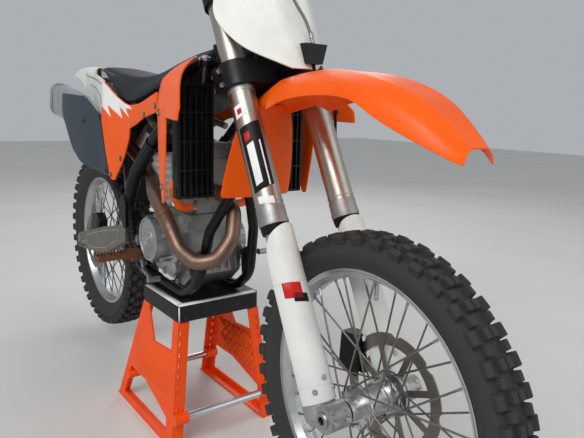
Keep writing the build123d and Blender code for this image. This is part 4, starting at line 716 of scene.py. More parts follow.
PANEL_PLAN = millimetres(((60, 142), (-60, 134.3), (-220, 134.3), (-300, 144), (-380, 156)))
SIDE_PANEL = millimetres((
    (-346, 1005), (-259, 956), (-205, 936), (-165, 930), (-100, 934), (44, 966), (38, 914), (-66, 896),
    (-125, 875), (-172, 863), (-178, 834), (-240, 749), (-289, 696), (-316, 699), (-342, 787), (-361, 881),
))
PLATE_PLAN = millimetres(((-300, 146), (-380, 157), (-480, 176), (-600, 188), (-700, 191)))
SIDE_PLATE = millimetres((
    (-654, 967), (-461, 956), (-397, 915), (-362, 870), (-346, 790), (-322, 705), (-511, 736), (-575, 778),
    (-606, 823), (-665, 897),
))


class MOTOCROSS_OT_side_panels(bpy.types.Operator):
    """Make the orange side panels and the dark plates beside the tail"""
    bl_idname = "motocross.side_panels"
    bl_label = "Side panels"

    def execute(self, context):
        shape = bmesh.new()
        panel(shape, SIDE_PANEL, PANEL_PLAN, 0.006)
        sheet = put("side_panel_sheets", shape, "moulded_orange", "chassis")
        thicken(sheet, 0.004, 0.0014, 0.0)
        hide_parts("side_panels")
        shape = bmesh.new()
        panel(shape, SIDE_PLATE, PLATE_PLAN, 0.014)
        sheet = put("side_plate_sheets", shape, "side_plate_plastic", "chassis")
        thicken(sheet, 0.004, 0.0014, 0.0)
        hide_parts("side_plates")
        return {"FINISHED"}


TAIL = millimetres((
    # x, top, half width at the top, lower edge, half width there
    (-985, 1050, 40, 1038, 50), (-965, 1053, 46, 1036, 58), (-900, 1062, 62, 1038, 76),
    (-820, 1066, 71, 1030, 88), (-750, 1067, 78, 1021, 98), (-690, 1066, 81, 1003, 105),
    (-640, 1062.5, 84, 985, 112), (-582, 1060, 86, 962, 118),
))
TAIL_WING = millimetres(((-630, 1046), (-600, 1048), (-520, 1034), (-430, 1022), (-350, 1004), (-362, 930),
                         (-400, 902), (-458, 905), (-500, 920), (-575, 952), (-630, 975)))
WING_PLAN = millimetres(((-340, 144), (-400, 140), (-500, 126), (-600, 116), (-660, 109)))


def tail_row(x, top, half_top, low, half_low):
    """One row of the tail from its left edge over the top to its right edge"""
    right = ((half_low, low), (half_low - 0.001, low + 0.006), (half_top + 0.010, top - 0.016),
             (half_top + 0.004, top - 0.005), (half_top - 0.006, top - 0.0005), (half_top * 0.5, top + 0.001))
    return [(x, across, z) for across, z in mirrored(right, [(0, top + 0.0015)])]


class MOTOCROSS_OT_tail(bpy.types.Operator):
    """Make the white tail: the arched fender over the wheel and its wings under the seat"""
    bl_idname = "motocross.tail"
    bl_label = "Tail"

    def execute(self, context):
        shape = bmesh.new()
        skin(shape, [tail_row(*row) for row in TAIL])
        tail = put("tail_shell", shape, "moulded_white", "chassis", 0)
        smoothed(tail, 2)
        thicken(tail, 0.003, 0.0009)
        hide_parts("rear_fender")
        shape = bmesh.new()
        panel(shape, TAIL_WING, WING_PLAN, 0.008)
        wings = put("tail_wings", shape, "moulded_white", "chassis")
        thicken(wings, 0.003, 0.0009, 0.0)
        return {"FINISHED"}


SEAT = millimetres((
    # x, top, base, half width near the top, half width at the base
    (-580, 1061, 1046, 66, 80), (-560, 1060, 1043, 70, 86), (-520, 1054, 1040, 75, 94),
    (-459, 1046, 1034, 80, 104), (-400, 1037, 1014, 85, 116), (-340, 1030, 988, 87, 122),
    (-287, 1023, 963, 88, 126), (-240, 1019, 946, 88, 129), (-190, 1017, 934, 88, 130),
    (-135, 1018, 942, 87, 130), (-77, 1023, 953, 86, 130), (-25, 1033, 968, 83, 125),
    (32, 1047, 984, 80, 119), (75, 1056, 999, 76, 115), (117, 1065, 1015, 72, 112),
    (160, 1071, 1029, 66, 103), (195, 1076, 1040, 60, 95),
))


def seat_row(x, top, base, half_top, half_base):
    """One row of the seat from its left lower edge over the pad to the right one"""
    rise = top - base
    right = (
        (half_base - 0.002, base + 0.0005), (half_base, base + 0.004),
        (half_base - 0.003, base + rise * 0.28),
        (half_base - (half_base - half_top) * 0.55, base + rise * 0.58), (half_top + 0.003, top - 0.012),
        (half_top - 0.003, top - 0.0045), (half_top * 0.82, top - 0.0012), (half_top * 0.5, top + 0.0005),
    )
    return [(x, across, z) for across, z in mirrored(right, [(0, top + 0.001)])]


class MOTOCROSS_OT_seat(bpy.types.Operator):
    """Make the seat: a long foam pad under a tight grained cover, pinched along its top edges"""
    bl_idname = "motocross.seat"
    bl_label = "Seat"

    def execute(self, context):
        shape = bmesh.new()
        lines = skin(shape, [seat_row(*row) for row in SEAT], closed=True)
        for line in (lines[0], lines[-1]):
            end = bmesh.ops.contextual_create(shape, geom=line)["faces"]
            bmesh.ops.inset_individual(shape, faces=end, thickness=0.006, depth=0.002)
        seat = put("seat_pad", shape, "seat_vinyl", "chassis", 0)
        smoothed(seat, 2)
        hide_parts("seat")
        return {"FINISHED"}


# Small parts of the fork and the clamps
def tube_centre(side, up):
    """The middle of a fork tube at a height along it"""
    return at_fork(FORK_AHEAD, side * FORK_SIDE, up)


def fork_out(angle):
    """The direction out from a fork tube, at an angle in degrees from straight ahead"""
    turn = math.radians(angle)
    return STEER_AHEAD * math.cos(turn) + ACROSS * math.sin(turn)


SHEET_COLUMNS = 14


def fork_sheet(shape, side, low, high, first, last, radius, slant=0.0):
    """Add a thin sheet bent round one fork tube between two heights and two angles from straight ahead"""
    rows = []
    for number in range(SHEET_COLUMNS + 1):
        part = number / SHEET_COLUMNS
        out = fork_out(first + (last - first) * part)
        rows.append([tube_centre(side, up + slant * part) + out * radius
                     for up in (low, (low + high) / 2, high)])
    skin(shape, rows)


def fork_rings(seals, collars, caps, side):
    """Add one tube's dust seal, its machined collars and its cap with the adjuster"""
    tube = tube_centre(side, 0)
    lathe(seals, tube, STEER_UP, ((0.374, 0.0245), (0.374, 0.0285), (0.380, 0.0300), (0.3918, 0.0308),
                                  (0.3918, 0.0245)), 48)
    lathe(collars, tube, STEER_UP, ((0.3922, 0.0304), (0.3922, 0.0320), (0.398, 0.0324), (0.404, 0.0314),
                                    (0.430, 0.0312), (0.432, 0.0304)), 64)
    for low, high in ((0.438, 0.4415), (0.690, 0.7010)):
        band(collars, tube, STEER_UP, low, high, 0.0299, 0.0309, 64)
    cap = tube_centre(side, 0.950)
    turned(caps, cap, STEER_UP, ((0, 0.027), (0.004, 0.027), (0.006, 0.0235), (0.010, 0.0235)), 32)
    turned(caps, cap, STEER_UP, ((0.009, 0.015), (0.018, 0.015), (0.019, 0.0138)), 6)
    turned(caps, cap, STEER_UP, ((0.018, 0.006), (0.024, 0.006), (0.025, 0.005)), 20)


def fork_bolts(bolts, side):
    """Add one side's bolts: the clamps' pinch bolts with their nuts, and those of the axle clamp and guard"""
    for up in (0.713, 0.745):
        at = at_fork(0.0148, side * 0.1410, up)
        socket_bolt(bolts, at, STEER_AHEAD, 0.0062, 0.007)
        turned(bolts, at - STEER_AHEAD * 0.0200, -STEER_AHEAD, ((0, 0.006), (0.005, 0.006)), 6)
        socket_bolt(bolts, at_fork(0.0470, side * 0.040, up), STEER_AHEAD, 0.004, 0.004)
    socket_bolt(bolts, at_fork(0.057, side * 0.078, 0.920), STEER_AHEAD, 0.0055, 0.006)
    for along in (0.086, 0.116):
        for ahead, up in ((0.0815, -0.01054), (0.078, 0.01054)):
            socket_bolt(bolts, at_fork(ahead, side * along, up), STEER_AHEAD, 0.0060, 0.006)
    for angle, up in ((-38, 0.052), (38, 0.052), (0, 0.075)):
        out = fork_out(angle * side)
        socket_bolt(bolts, tube_centre(side, up) + out * 0.0370, out, 0.0052, 0.0032)


GUARD_RADIUS = 0.0355
GUARD_SKIN = 0.0374
GUARD_EDGE = 96
GUARD_COLUMNS = 40
GUARD_HEIGHTS = (0.030, 0.060, 0.100, 0.160, 0.220, 0.280, 0.330)


def guard_top(angle):
    """The height of a guard's rounded top at an angle in degrees, highest at its front"""
    fall = max(0, abs(angle) - 58) / 38
    return 0.388 - 0.0000036 * (angle + 14) ** 2 - 0.040 * (1 - math.sqrt(max(0, 1 - fall ** 2)))


def fork_guards(shells, seams, side):
    """Add one fork guard and the two seams round it"""
    rows = []
    for number in range(GUARD_COLUMNS + 1):
        angle = -GUARD_EDGE + 2 * GUARD_EDGE / GUARD_COLUMNS * number
        out = fork_out(angle * side) * GUARD_RADIUS
        rows.append([tube_centre(side, up) + out for up in (*GUARD_HEIGHTS, guard_top(angle))])
    skin(shells, rows)
    for low, high in ((0.268, 0.2705), (0.0620, 0.0640)):
        fork_sheet(seams, side, low, high, -70 * side, GUARD_EDGE * side, GUARD_SKIN)


FORK_MARKS = (
    # name, low and high, first and last angle, radius, slant, finish, slot
    ("guard_mark_red", 0.238, 0.270, -58, 2, GUARD_SKIN, -0.006, "red_vinyl", "white_plastic"),
    ("guard_mark_black", 0.228, 0.246, -30, 20, GUARD_SKIN, -0.006, "moulded_black", "white_plastic"),
    ("fork_band_black", 0.462, 0.606, -84, 8, 0.0308, 0.012, "moulded_black", "fork_alloy"),
    ("fork_band_white", 0.476, 0.566, -66, -36, 0.0312, 0.006, "white_vinyl", "fork_alloy"),
    ("fork_band_red", 0.574, 0.592, -68, -44, 0.0312, 0.004, "red_vinyl", "fork_alloy"),
    ("fork_band_line", 0.472, 0.572, -14, -8, 0.0312, 0.001, "white_vinyl", "fork_alloy"),
    ("fork_band_foot", 0.438, 0.454, -74, -10, 0.0312, -0.006, "white_vinyl", "fork_alloy"),
    ("fork_badge", 0.628, 0.656, -84, -34, 0.0308, 0.006, "white_vinyl", "fork_alloy"),
    ("fork_badge_red", 0.636, 0.648, -72, -52, 0.0312, 0.003, "red_vinyl", "fork_alloy"),
)
# Wall, edge and offset of a printed film
FILM = (0.0004, 0.0001, 0.0)


class MOTOCROSS_OT_fork(bpy.types.Operator):
    """Make the fork's small parts: seals, machined collars, caps, bolts, guards and the right tube's bands"""
    bl_idname = "motocross.fork"
    bl_label = "Fork details"

    def execute(self, context):
        seals, collars, caps, bolts, shells, seams = (bmesh.new() for part in range(6))
        for side in HANDS:
            fork_rings(seals, collars, caps, side)
            fork_bolts(bolts, side)
            fork_guards(shells, seams, side)
        put("fork_seals", seals, "hose_rubber", "steering")
        put("fork_collars", collars, "bright_casting", "steering")
        put("fork_caps", caps, "anodised_orange", "steering")
        put("fork_bolts", bolts, "zinc_steel", "steering")
        guards = put("fork_guard_shells", shells, "moulded_white", "steering", 0)
        thicken(guards, 0.003, 0.0010, 0.0)
        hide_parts("fork_guards")
        seam = put("fork_guard_seams", seams, "moulded_white", "steering")
        thicken(seam, 0.0007, 0.0002, 0.0)
        for name, low, high, first, last, radius, slant, finish, slot in FORK_MARKS:
            mark = bmesh.new()
            fork_sheet(mark, -1, low, high, first, last, radius, slant)
            thicken(put(name, mark, finish, "steering"), *FILM)
        return {"FINISHED"}


HOSE_POINTS = millimetres((
    (17, -229, 1065.8), (62, -170, 1052), (125, -120, 1030), (178, -82, 985), (194, -55, 905),
    (179, -25, 829), (161, 17, 786), (153, 19, 744), (146.5, 9, 699.5), (132, 24, 686), (107, 62, 697),
    (75, 104, 692), (44, 138, 645), (13, 138, 585), (11, 139, 495), (8, 143, 408), (7, 144, 322),
    (8, 144, 236), (2, 140, 156), (-14, 118, 96), (-25, 88, 62),
))
CUP_POINT = 7


def cord(name, points, radius, finish):
    """A round hose along points, as a smooth curve that ends on its first and last point"""
    curve = bpy.data.curves.new(name, "CURVE")
    curve.dimensions = "3D"
    curve.bevel_depth = radius
    curve.bevel_resolution = 3
    curve.resolution_u = 8
    curve.use_fill_caps = True
    line = curve.splines.new("NURBS")
    line.points.add(len(points) - 1)
    for dot, point in zip(line.points, points):
        dot.co = (*point, 1)
    line.order_u = 3
    line.use_endpoint_u = True
    curve.materials.append(bpy.data.materials[finish])
    run = bpy.data.objects.new(name, curve)
    bpy.context.scene.collection.objects.link(run)
    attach(run, "steering")
    return run


CLIP_POINTS = (12, 14, 16)
CUP = ((0, 0.0040), (0.003, 0.0052), (0.014, 0.0052), (0.016, 0.0044), (0.024, 0.0044))
CLIP = ((0, 0.0048), (0.001, 0.0056), (0.011, 0.0056), (0.012, 0.0048))
BANJO = ((0, 0.0090), (0.013, 0.0090), (0.0132, 0.0065), (0.020, 0.0062))


class MOTOCROSS_OT_brake_hose(bpy.types.Operator):
    """Make the front brake hose: braided above its cup and rubber below it, with its fittings and clips"""
    bl_idname = "motocross.brake_hose"
    bl_label = "Front brake hose"

    def execute(self, context):
        points = [at_fork(*point) for point in HOSE_POINTS]
        cup, last = points[CUP_POINT], points[-1]
        upper = cord("brake_hose_braid", points[:CUP_POINT + 1], 0.0035, "braided_steel")
        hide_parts("brake_hose")
        cord("brake_hose_rubber", points[CUP_POINT:], 0.0038, "hose_rubber")
        metal, black = bmesh.new(), bmesh.new()
        down = (cup - points[CUP_POINT - 1]).normalized()
        turned(metal, cup - down * 0.030, down, CUP, 20)
        for end, towards in ((points[0], points[1]), (last, points[-2])):
            along = (towards - end).normalized()
            turned(metal, end + along * 0.001, along, ((0, 0.0050), (0.018, 0.0050), (0.020, 0.0042)), 20)
        turned(metal, (last.x, 0.0798, last.z), ACROSS, BANJO, 6)
        put("brake_hose_fittings", metal, "plain_steel", "steering")
        for number in CLIP_POINTS:
            along = (points[number + 1] - points[number - 1]).normalized()
            turned(black, points[number] - along * 0.006, along, CLIP, 16)
        put("brake_hose_clips", black, "moulded_black", "steering")
        return {"FINISHED"}


# Wheels' small parts
HUBS = {
    # the bolted disc's place across the bike, the hub's end, the hub's radius
    "front": (0.062, 0.068, 0.030),
    "rear": (-0.066, 0.076, 0.034),
}
RIM_BEADS = (
    # depths below the bead seat of a bead's foot, its two edges and its other foot, and its height
    (0.0105, 0.0098, 0.0068, 0.0060, 0.0016),
    (0.0042, 0.0036, 0.0008, 0.0002, 0.0022),
)
HUB_LINES = (
    # place of the first line from the middle, how many, height
    (0.0308, 3, 0.0008),
    (0.018, 2, 0.0006),
)
HUB_LINE_STEP = 0.0028
VALVE = ((-0.001, 0.0060), (0.004, 0.0060), (0.005, 0.0042), (0.030, 0.0042), (0.031, 0.0050),
         (0.040, 0.0046))


def rim_and_hub_lines(bright, seals, centre, rim_r, rim_half, hub_end, hub_r):
    """Add a wheel's rim beads, its hub seals and the lines machined round its hub"""
    for hand in HANDS:
        side = hand * rim_half
        for foot, edge, next_edge, next_foot, rise in RIM_BEADS:
            proud = side + hand * rise
            bead = ((side, rim_r - foot), (proud, rim_r - edge), (proud, rim_r - next_edge),
                    (side, rim_r - next_foot))
            lathe(bright, centre, ACROSS, bead, 120)
        lathe(seals, centre + ACROSS * hand * hub_end, ACROSS * hand,
              ((-0.0002, 0.0135), (0.0008, 0.0140), (0.0008, 0.0200), (-0.0002, 0.0205)), 40)
        for first, count, rise in HUB_LINES:
            for number in range(count):
                at = centre + ACROSS * hand * (first - number * HUB_LINE_STEP)
                foot = hub_r - 0.0001
                lathe(bright, at, ACROSS, ((-rise, foot), (0, foot + rise), (rise, foot)), 48, closed=False)


class MOTOCROSS_OT_wheel_parts(bpy.types.Operator):
    """Make the wheels' small parts: rim beads, seals, disc and sprocket bolts, valves and axle ends"""
    bl_idname = "motocross.wheel_parts"
    bl_label = "Wheel details"

    def execute(self, context):
        for name, centre, rim_r, rim_half in WHEELS:
            disc_y, hub_end, hub_r = HUBS[name]
            bright, seals, bolts, valve = (bmesh.new() for part in range(4))
            rim_and_hub_lines(bright, seals, centre, rim_r, rim_half, hub_end, hub_r)
            hand = math.copysign(1, disc_y)
            for out in around(6, 30):
                face = ACROSS * (disc_y + hand * 0.0016)
                socket_bolt(bolts, centre + out * 0.0385 + face, ACROSS * hand, 0.0062, 0.0042)
                if name == "rear":
                    bolt(bolts, centre + out * 0.0425 + ACROSS * 0.0729, ACROSS, 0.0060, 0.0062, 1.3)
            turned(valve, centre + UPRIGHT * (rim_r - RIM_DEPTH), -UPRIGHT, VALVE, 14)
            body = name + "_wheel"
            put(name + "_rim_beads", bright, "rim_anodising", body)
            put(name + "_hub_seals", seals, "hose_rubber", body)
            put(name + "_wheel_bolts", bolts, "zinc_steel", body)
            put(name + "_valve", valve, "zinc_steel", body)
        ends, spacers = bmesh.new(), bmesh.new()
        for hand in HANDS:
            lathe(ends, FRONT_AXLE + ACROSS * hand * 0.1282, ACROSS * hand,
                  ((-0.0104, 0.0129), (-0.0104, 0.0160), (-0.0006, 0.0160), (0.0012, 0.0145),
                   (0.0012, 0.0084), (-0.001, 0.0084), (-0.001, 0.0129)), 32)
            lathe(spacers, FRONT_AXLE + ACROSS * hand * 0.0688, ACROSS * hand,
                  ((0, 0.0129), (0, 0.0185), (0.0055, 0.0165), (0.0055, 0.0129)), 32)
        put("front_axle_ends", ends, "plain_steel", "steering")
        put("front_axle_spacers", spacers, "black_anodising", "steering")
        return {"FINISHED"}


# Engine, cooling and exhaust
RIGHT = -ACROSS
CASE_SIDE = 0.0778
COVER_SIDE = -0.1018
CLUTCH = Vector((-0.025, -0.146, 0.558))
IGNITION = Vector((0.028, 0.108, 0.548))
PUMP = Vector((0.066, COVER_SIDE, 0.494))
COVER_BOLTS = millimetres(((-92, 522), (-72, 478), (-12, 466), (44, 466), (80, 502), (76, 566), (38, 614),
                           (-22, 618), (-66, 612), (-98, 572)))
CASE_BOLTS = millimetres(((96, 480), (108, 540), (96, 612), (30, 438), (-60, 446)))
FILLER_CAPS = millimetres(((36, 594), (-68, 598)))


def clutch_side(cover, cast, bolts):
    """Add the right side: the round clutch cover's rims, its bolts and those of the case cover behind it"""
    lathe(cover, CLUTCH, RIGHT, ((-0.006, 0.0626), (0.0022, 0.0616), (0.0030, 0.0596), (0.0030, 0.0560),
                                 (0.0004, 0.0550), (-0.0004, 0.0550)), 72)
    lathe(cover, CLUTCH, RIGHT, ((-0.0004, 0.0300), (0.0016, 0.0292), (0.0016, 0.0262), (-0.0004, 0.0256)),
          56)
    turned(cover, CLUTCH, RIGHT, ((-0.0004, 0.0130), (0.0026, 0.0124), (0.0032, 0.0100)), 32)
    for out in around(6, 15):
        at = Vector((CLUTCH.x, COVER_SIDE, CLUTCH.z)) + out * 0.0712
        bossed_bolt(cast, bolts, at, RIGHT, (0.026, 0.0086, 0.0076), 0.0046, 0.0052, 18)
    for x, z in COVER_BOLTS:
        bossed_bolt(cast, bolts, Vector((x, COVER_SIDE, z)), RIGHT, (0.003, 0.0080, 0.0076), 0.0042, 0.0048)
    for x, z in FILLER_CAPS:
        cap = Vector((x, COVER_SIDE, z))
        turned(cast, cap, RIGHT, ((-0.001, 0.0160), (0.006, 0.0150), (0.0075, 0.0120)), 28)
        bolt(bolts, cap + RIGHT * 0.0074, RIGHT, 0.0038, 0.0042, 1.2)


def water_pump(cast, bolts):
    """Add the water pump's round cover with its spout and bolts"""
    turned(cast, PUMP, RIGHT, ((-0.001, 0.0235), (0.014, 0.0220), (0.019, 0.0170), (0.020, 0.0120)), 32)
    spout = ((0.010, 0.0100), (0.040, 0.0096), (0.041, 0.0112), (0.047, 0.0112))
    turned(cast, PUMP + RIGHT * 0.008, Vector((0.45, 0, 0.89)), spout, 20)
    for out in around(3, 40):
        bolt(bolts, PUMP + out * 0.0185 + RIGHT * 0.0145, RIGHT, 0.0034, 0.0040, 1.3)


def ignition_side(cover, cast, bolts):
    """Add the left side: the ignition cover's rim, its middle and its bolts"""
    lathe(cover, IGNITION, ACROSS, ((-0.004, 0.0622), (0.0020, 0.0612), (0.0020, 0.0570), (-0.0004, 0.0560)),
          64)
    turned(cover, IGNITION, ACROSS, ((-0.0004, 0.0240), (0.0030, 0.0225), (0.0034, 0.0120)), 32)
    for out in around(5, 20):
        at = Vector((IGNITION.x, CASE_SIDE, IGNITION.z)) + out * 0.0690
        bossed_bolt(cast, bolts, at, ACROSS, (0.020, 0.0082, 0.0074), 0.0044, 0.0050)


def case_and_cylinder(cast, bolts, hand):
    """Add one side of the crankcase and the cylinder: their bolts and the cast ribs between them"""
    out = ACROSS * hand
    for x, z in CASE_BOLTS:
        at = Vector((x, hand * CASE_SIDE, z))
        bossed_bolt(cast, bolts, at, out, (0.005, 0.0090, 0.0082), 0.0042, 0.0048)
    for x in (-0.010, 0.080):
        bolt(bolts, Vector((x, hand * 0.0560, 0.834)), UPRIGHT, 0.0044, 0.0058, 1.4)
        bolt(bolts, Vector((x, hand * 0.0658, 0.772)), out, 0.0044, 0.0050, 1.4)
        bolt(bolts, Vector((x, hand * 0.0658, 0.702)), out, 0.0050, 0.0056, 1.4)
    for z in (0.648, 0.657, 0.666, 0.675):
        block(cast, (0.0390, hand * 0.0565, z), STILL, (0.118, 0.004, 0.0030), 1.0, 0.0006)
    for z in (0.722, 0.742, 0.762):
        block(cast, (0.0340, hand * 0.0665, z), STILL, (0.100, 0.004, 0.0045), 1.0, 0.0008)


def front_ribs(cast):
    """Add the ribs on the front of the crankcase and of the cylinder head"""
    lean = Matrix.Rotation(math.radians(-7.6), 3, "Y")
    for y in (-0.060, -0.036, -0.012, 0.012, 0.036, 0.060):
        block(cast, (0.1120, y, 0.516), lean, (0.006, 0.004, 0.080), 1.0, 0.0008)
    for z in (0.800, 0.814):
        block(cast, (0.1015, 0, z), STILL, (0.006, 0.100, 0.004), 1.0, 0.0008)


class MOTOCROSS_OT_engine(bpy.types.Operator):
    """Make the engine's small parts: cover rims, bolts, caps, pump and cast ribs"""
    bl_idname = "motocross.engine"
    bl_label = "Engine details"

    def execute(self, context):
        cover, bolts, cast, clamps = (bmesh.new() for part in range(4))
        clutch_side(cover, cast, bolts)
        water_pump(cast, bolts)
        ignition_side(cover, cast, bolts)
        for hand in HANDS:
            case_and_cylinder(cast, bolts, hand)
        front_ribs(cast)
        band(clamps, (-0.050, 0, 0.7548), (-0.987, 0, 0.156), 0, 0.012, 0.0262, 0.0290, 36)
        put("engine_cover_rims", cover, "brushed_cover", "chassis")
        put("engine_bolts", bolts, "zinc_steel", "chassis")
        put("engine_castings", cast, "engine_alloy", "chassis")
        put("engine_clamps", clamps, "plain_steel", "chassis")
        return {"FINISHED"}


FIN_ROWS = 44
FIN_PITCH = 0.0049
TUBE_ROWS = 9
TUBE_PITCH = 0.0096
FILLER_NECK = Vector((0.213, -0.090, 1.038))
CLAMPS = (((0.198, 0.150, 0.735), (1, 0, 0)), ((0.090, 0.064, 0.662), (0, 1, 0)))


class MOTOCROSS_OT_cooling(bpy.types.Operator):
    """Make the radiators' fins and flat tubes, the filler cap and the hose clamps"""
    bl_idname = "motocross.cooling"
    bl_label = "Cooling details"

    def execute(self, context):
        fins, cap, clamps = bmesh.new(), bmesh.new(), bmesh.new()
        for hand in HANDS:
            for number in range(FIN_ROWS):
                z = 0.742 + number * FIN_PITCH
                block(fins, (0.2412, hand * 0.135, z), STILL, (0.0012, 0.086, 0.0008))
            for number in range(TUBE_ROWS):
                y = hand * (0.0965 + number * TUBE_PITCH)
                block(fins, (0.2414, y, 0.848), STILL, (0.0018, 0.0026, 0.212))
            for (x, y, z), axis in CLAMPS:
                band(clamps, (x, hand * y, z), axis, -0.005, 0.005, 0.0121, 0.0132, 32)
                block(clamps, (x, hand * y, z + 0.0145), STILL, (0.012, 0.009, 0.006), 0.9, 0.0008)
        lathe(cap, FILLER_NECK, UPRIGHT, ((-0.0003, 0.010), (-0.0003, 0.0168), (0.004, 0.0176),
                                          (0.009, 0.0170), (0.010, 0.0150), (0.010, 0.010)), 36)
        turned(cap, FILLER_NECK, UPRIGHT, ((-0.0003, 0.011), (0.013, 0.010), (0.0138, 0.006)), 24)
        for angle in (100, 280):
            turn = Matrix.Rotation(math.radians(angle), 3, "Z")
            ear = FILLER_NECK + turn @ Vector((0.0170, 0, 0.004))
            block(cap, ear, turn, (0.014, 0.014, 0.006), 0.9, 0.0012)
        put("radiator_fins", fins, "black_anodising", "chassis", 0)
        put("radiator_cap", cap, "plain_steel", "chassis")
        put("hose_clamps", clamps, "zinc_steel", "chassis")
        return {"FINISHED"}


def bent(points, radii, step=0.004):
    """Points every few millimetres along straight runs joined by round bends, each with its direction"""
    corners = []
    for before, corner, after, radius in zip(points, points[1:], points[2:], radii):
        back, ahead = (before - corner).normalized(), (after - corner).normalized()
        half = math.pi - back.angle(ahead)
        reach = radius * math.tan(half / 2)
        middle = corner + (back + ahead).normalized() * (radius / math.cos(half / 2))
        first, last = corner + back * reach - middle, corner + ahead * reach - middle
        corners.append([middle + first.lerp(last, part / 12).normalized() * radius for part in range(13)])
    line = [points[0], *(point for corner in corners for point in corner), points[-1]]
    dots = []
    for start, end in zip(line, line[1:]):
        count = max(1, int((end - start).length / step))
        dots += [(start.lerp(end, part / count), (end - start).normalized()) for part in range(count)]
    return dots


def swept(shape, line, radius, sides=28):
    """Add a round pipe along close points, without a twist"""
    rows, over = [], Vector((0, 0, 1))
    for number, at in enumerate(line):
        along = (line[min(number + 1, len(line) - 1)] - line[max(number - 1, 0)]).normalized()
        over = (over - along * over.dot(along)).normalized()
        side = along.cross(over)
        rows.append([at + (over * math.cos(turn) + side * math.sin(turn)) * radius
                     for turn in (math.tau * part / sides for part in range(sides))])
    skin(shape, rows, closed=True)


HEADER = millimetres((
    (115.3, 0, 700), (154, 0, 700), (216, -8, 660), (240, -28, 600), (238, -70, 546), (203, -114, 534),
    (150, -134, 562), (106, -140, 616), (-20, -128, 688), (-150, -77, 716), (-262, -76, 772),
    (-318, -108, 834), (-371.7, -112, 846),
))
HEADER_BENDS = (0.030, 0.030, 0.030, 0.024, 0.024, 0.030, 0.040, 0.060, 0.070, 0.060, 0.020)
PIPE_BANDS = millimetres(((132, 0, 700), (64, -136, 640), (-210, -76, 744)))


HEADER_R = 0.020
SMOOTHING = 9
WELD_BAND = ((-0.012, 0.0198), (-0.011, 0.0216), (-0.003, 0.0218), (0, 0.0226), (0.003, 0.0218),
             (0.011, 0.0216), (0.012, 0.0198))
CAN_START = Vector((-0.372, -0.112, 0.846))
CAN_END = Vector((-0.838, -0.150, 0.948))
CAN_HALF = (0.037, 0.059)
CAN_CORNER = 0.030
CAN_BANDS = (0.012, 0.466)


def header_line():
    """The header's centre line, each point moved to the mean of its neighbours for smooth bends"""
    corners = [Vector(point) for point in HEADER]
    dots = [at for at, along in bent(corners, HEADER_BENDS)] + [corners[-1]]
    line = []
    for number in range(len(dots)):
        reach = min(SMOOTHING, number, len(dots) - 1 - number)
        near = dots[number - reach:number + reach + 1]
        line.append(sum(near, Vector()) / len(near))
    return line


def can_outline(grow):
    """The silencer's rounded section, made larger all round"""
    points = []
    for corner_x, corner_y, first in ((1, 1, 0), (-1, 1, 90), (-1, -1, 180), (1, -1, 270)):
        for step in range(0, 91, 18):
            angle = math.radians(first + step)
            x = corner_x * (CAN_HALF[0] - CAN_CORNER) + math.cos(angle) * (CAN_CORNER + grow)
            y = corner_y * (CAN_HALF[1] - CAN_CORNER) + math.sin(angle) * (CAN_CORNER + grow)
            points.append(Vector((x, y, 0)))
    return points


def silencer_bands(bands, rivets):
    """Add the two bands round the silencer with their rivets, and the rim of its outlet"""
    along = (CAN_END - CAN_START).normalized()
    turn = along.to_track_quat("Z", "Y").to_matrix()
    for distance in CAN_BANDS:
        centre = CAN_START + along * distance
        skin(bands, [[centre + along * step + turn @ corner for corner in can_outline(0.0015)]
                     for step in (-0.010, 0.010)], closed=True)
        for corner in can_outline(0.0018)[::4]:
            out = turn @ corner
            turned(rivets, centre + out, out.normalized(), ((-0.0005, 0.0024), (0.001, 0.0020)), 10)
    lathe(rivets, CAN_END + along * 0.034, along, ((-0.001, 0.0195), (0.008, 0.0195), (0.008, 0.0165),
                                                   (-0.001, 0.0160)), 36)


class MOTOCROSS_OT_exhaust(bpy.types.Operator):
    """Make the header pipe, its weld bands and flange, and the silencer's bands, rivets and outlet rim"""
    bl_idname = "motocross.exhaust"
    bl_label = "Exhaust details"

    def execute(self, context):
        welds, bands, rivets, pipe = (bmesh.new() for part in range(4))
        line = header_line()
        swept(pipe, line, HEADER_R)
        sweep = put("header_sweep", pipe, "heated_steel", "chassis", 0)
        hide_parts("header_pipe")
        for spot in PIPE_BANDS:
            number = min(range(1, len(line) - 1), key=lambda place: (line[place] - Vector(spot)).length)
            lathe(welds, line[number], line[number + 1] - line[number - 1], WELD_BAND, 48)
        for y, z in ((0.034, 0.716), (-0.034, 0.684)):
            turned(bands, (0.1153, y, z), AHEAD, ((0, 0.0055), (0.012, 0.0055)), 6)
        flange = Matrix.Rotation(math.radians(-25), 3, "X")
        block(welds, (0.1195, 0, 0.700), flange, (0.008, 0.086, 0.036), 0.96, 0.003)
        silencer_bands(bands, rivets)
        put("header_bands", welds, "rusty_steel", "chassis")
        straps = put("silencer_bands", bands, "polished_alloy", "chassis")
        thicken(straps, 0.0008, 0.0002, 0.0)
        put("silencer_rivets", rivets, "plain_steel", "chassis")
        return {"FINISHED"}


# Frame, stand and small trims
SPINE = millimetres(((-44, 118, 830), (-178, 118, 727), (-246, 118, 622), (-226, 112, 520), (-206, 108, 486)))
SPINE_BENDS = (0.120, 0.060, 0.060)
ARM_LINE = millimetres(((-352, 522), (-480, 496), (-690, 442), (-704, 420), (-690, 402), (-640, 402),
                        (-494, 430), (-372, 482)))
STAND_TOP_HALF = 0.129
STAND_FALL = 0.3524
STAND_LEAN = math.atan2(0.039, STAND_FALL)


def on_stand(hand, x, down, out):
    """A point on a stand side: along it, down its slope from the top, and out from its outer face"""
    return Vector((x, hand * (STAND_TOP_HALF + math.sin(STAND_LEAN) * down + math.cos(STAND_LEAN) * out),
                   STAND_FALL - math.cos(STAND_LEAN) * down + math.sin(STAND_LEAN) * out))


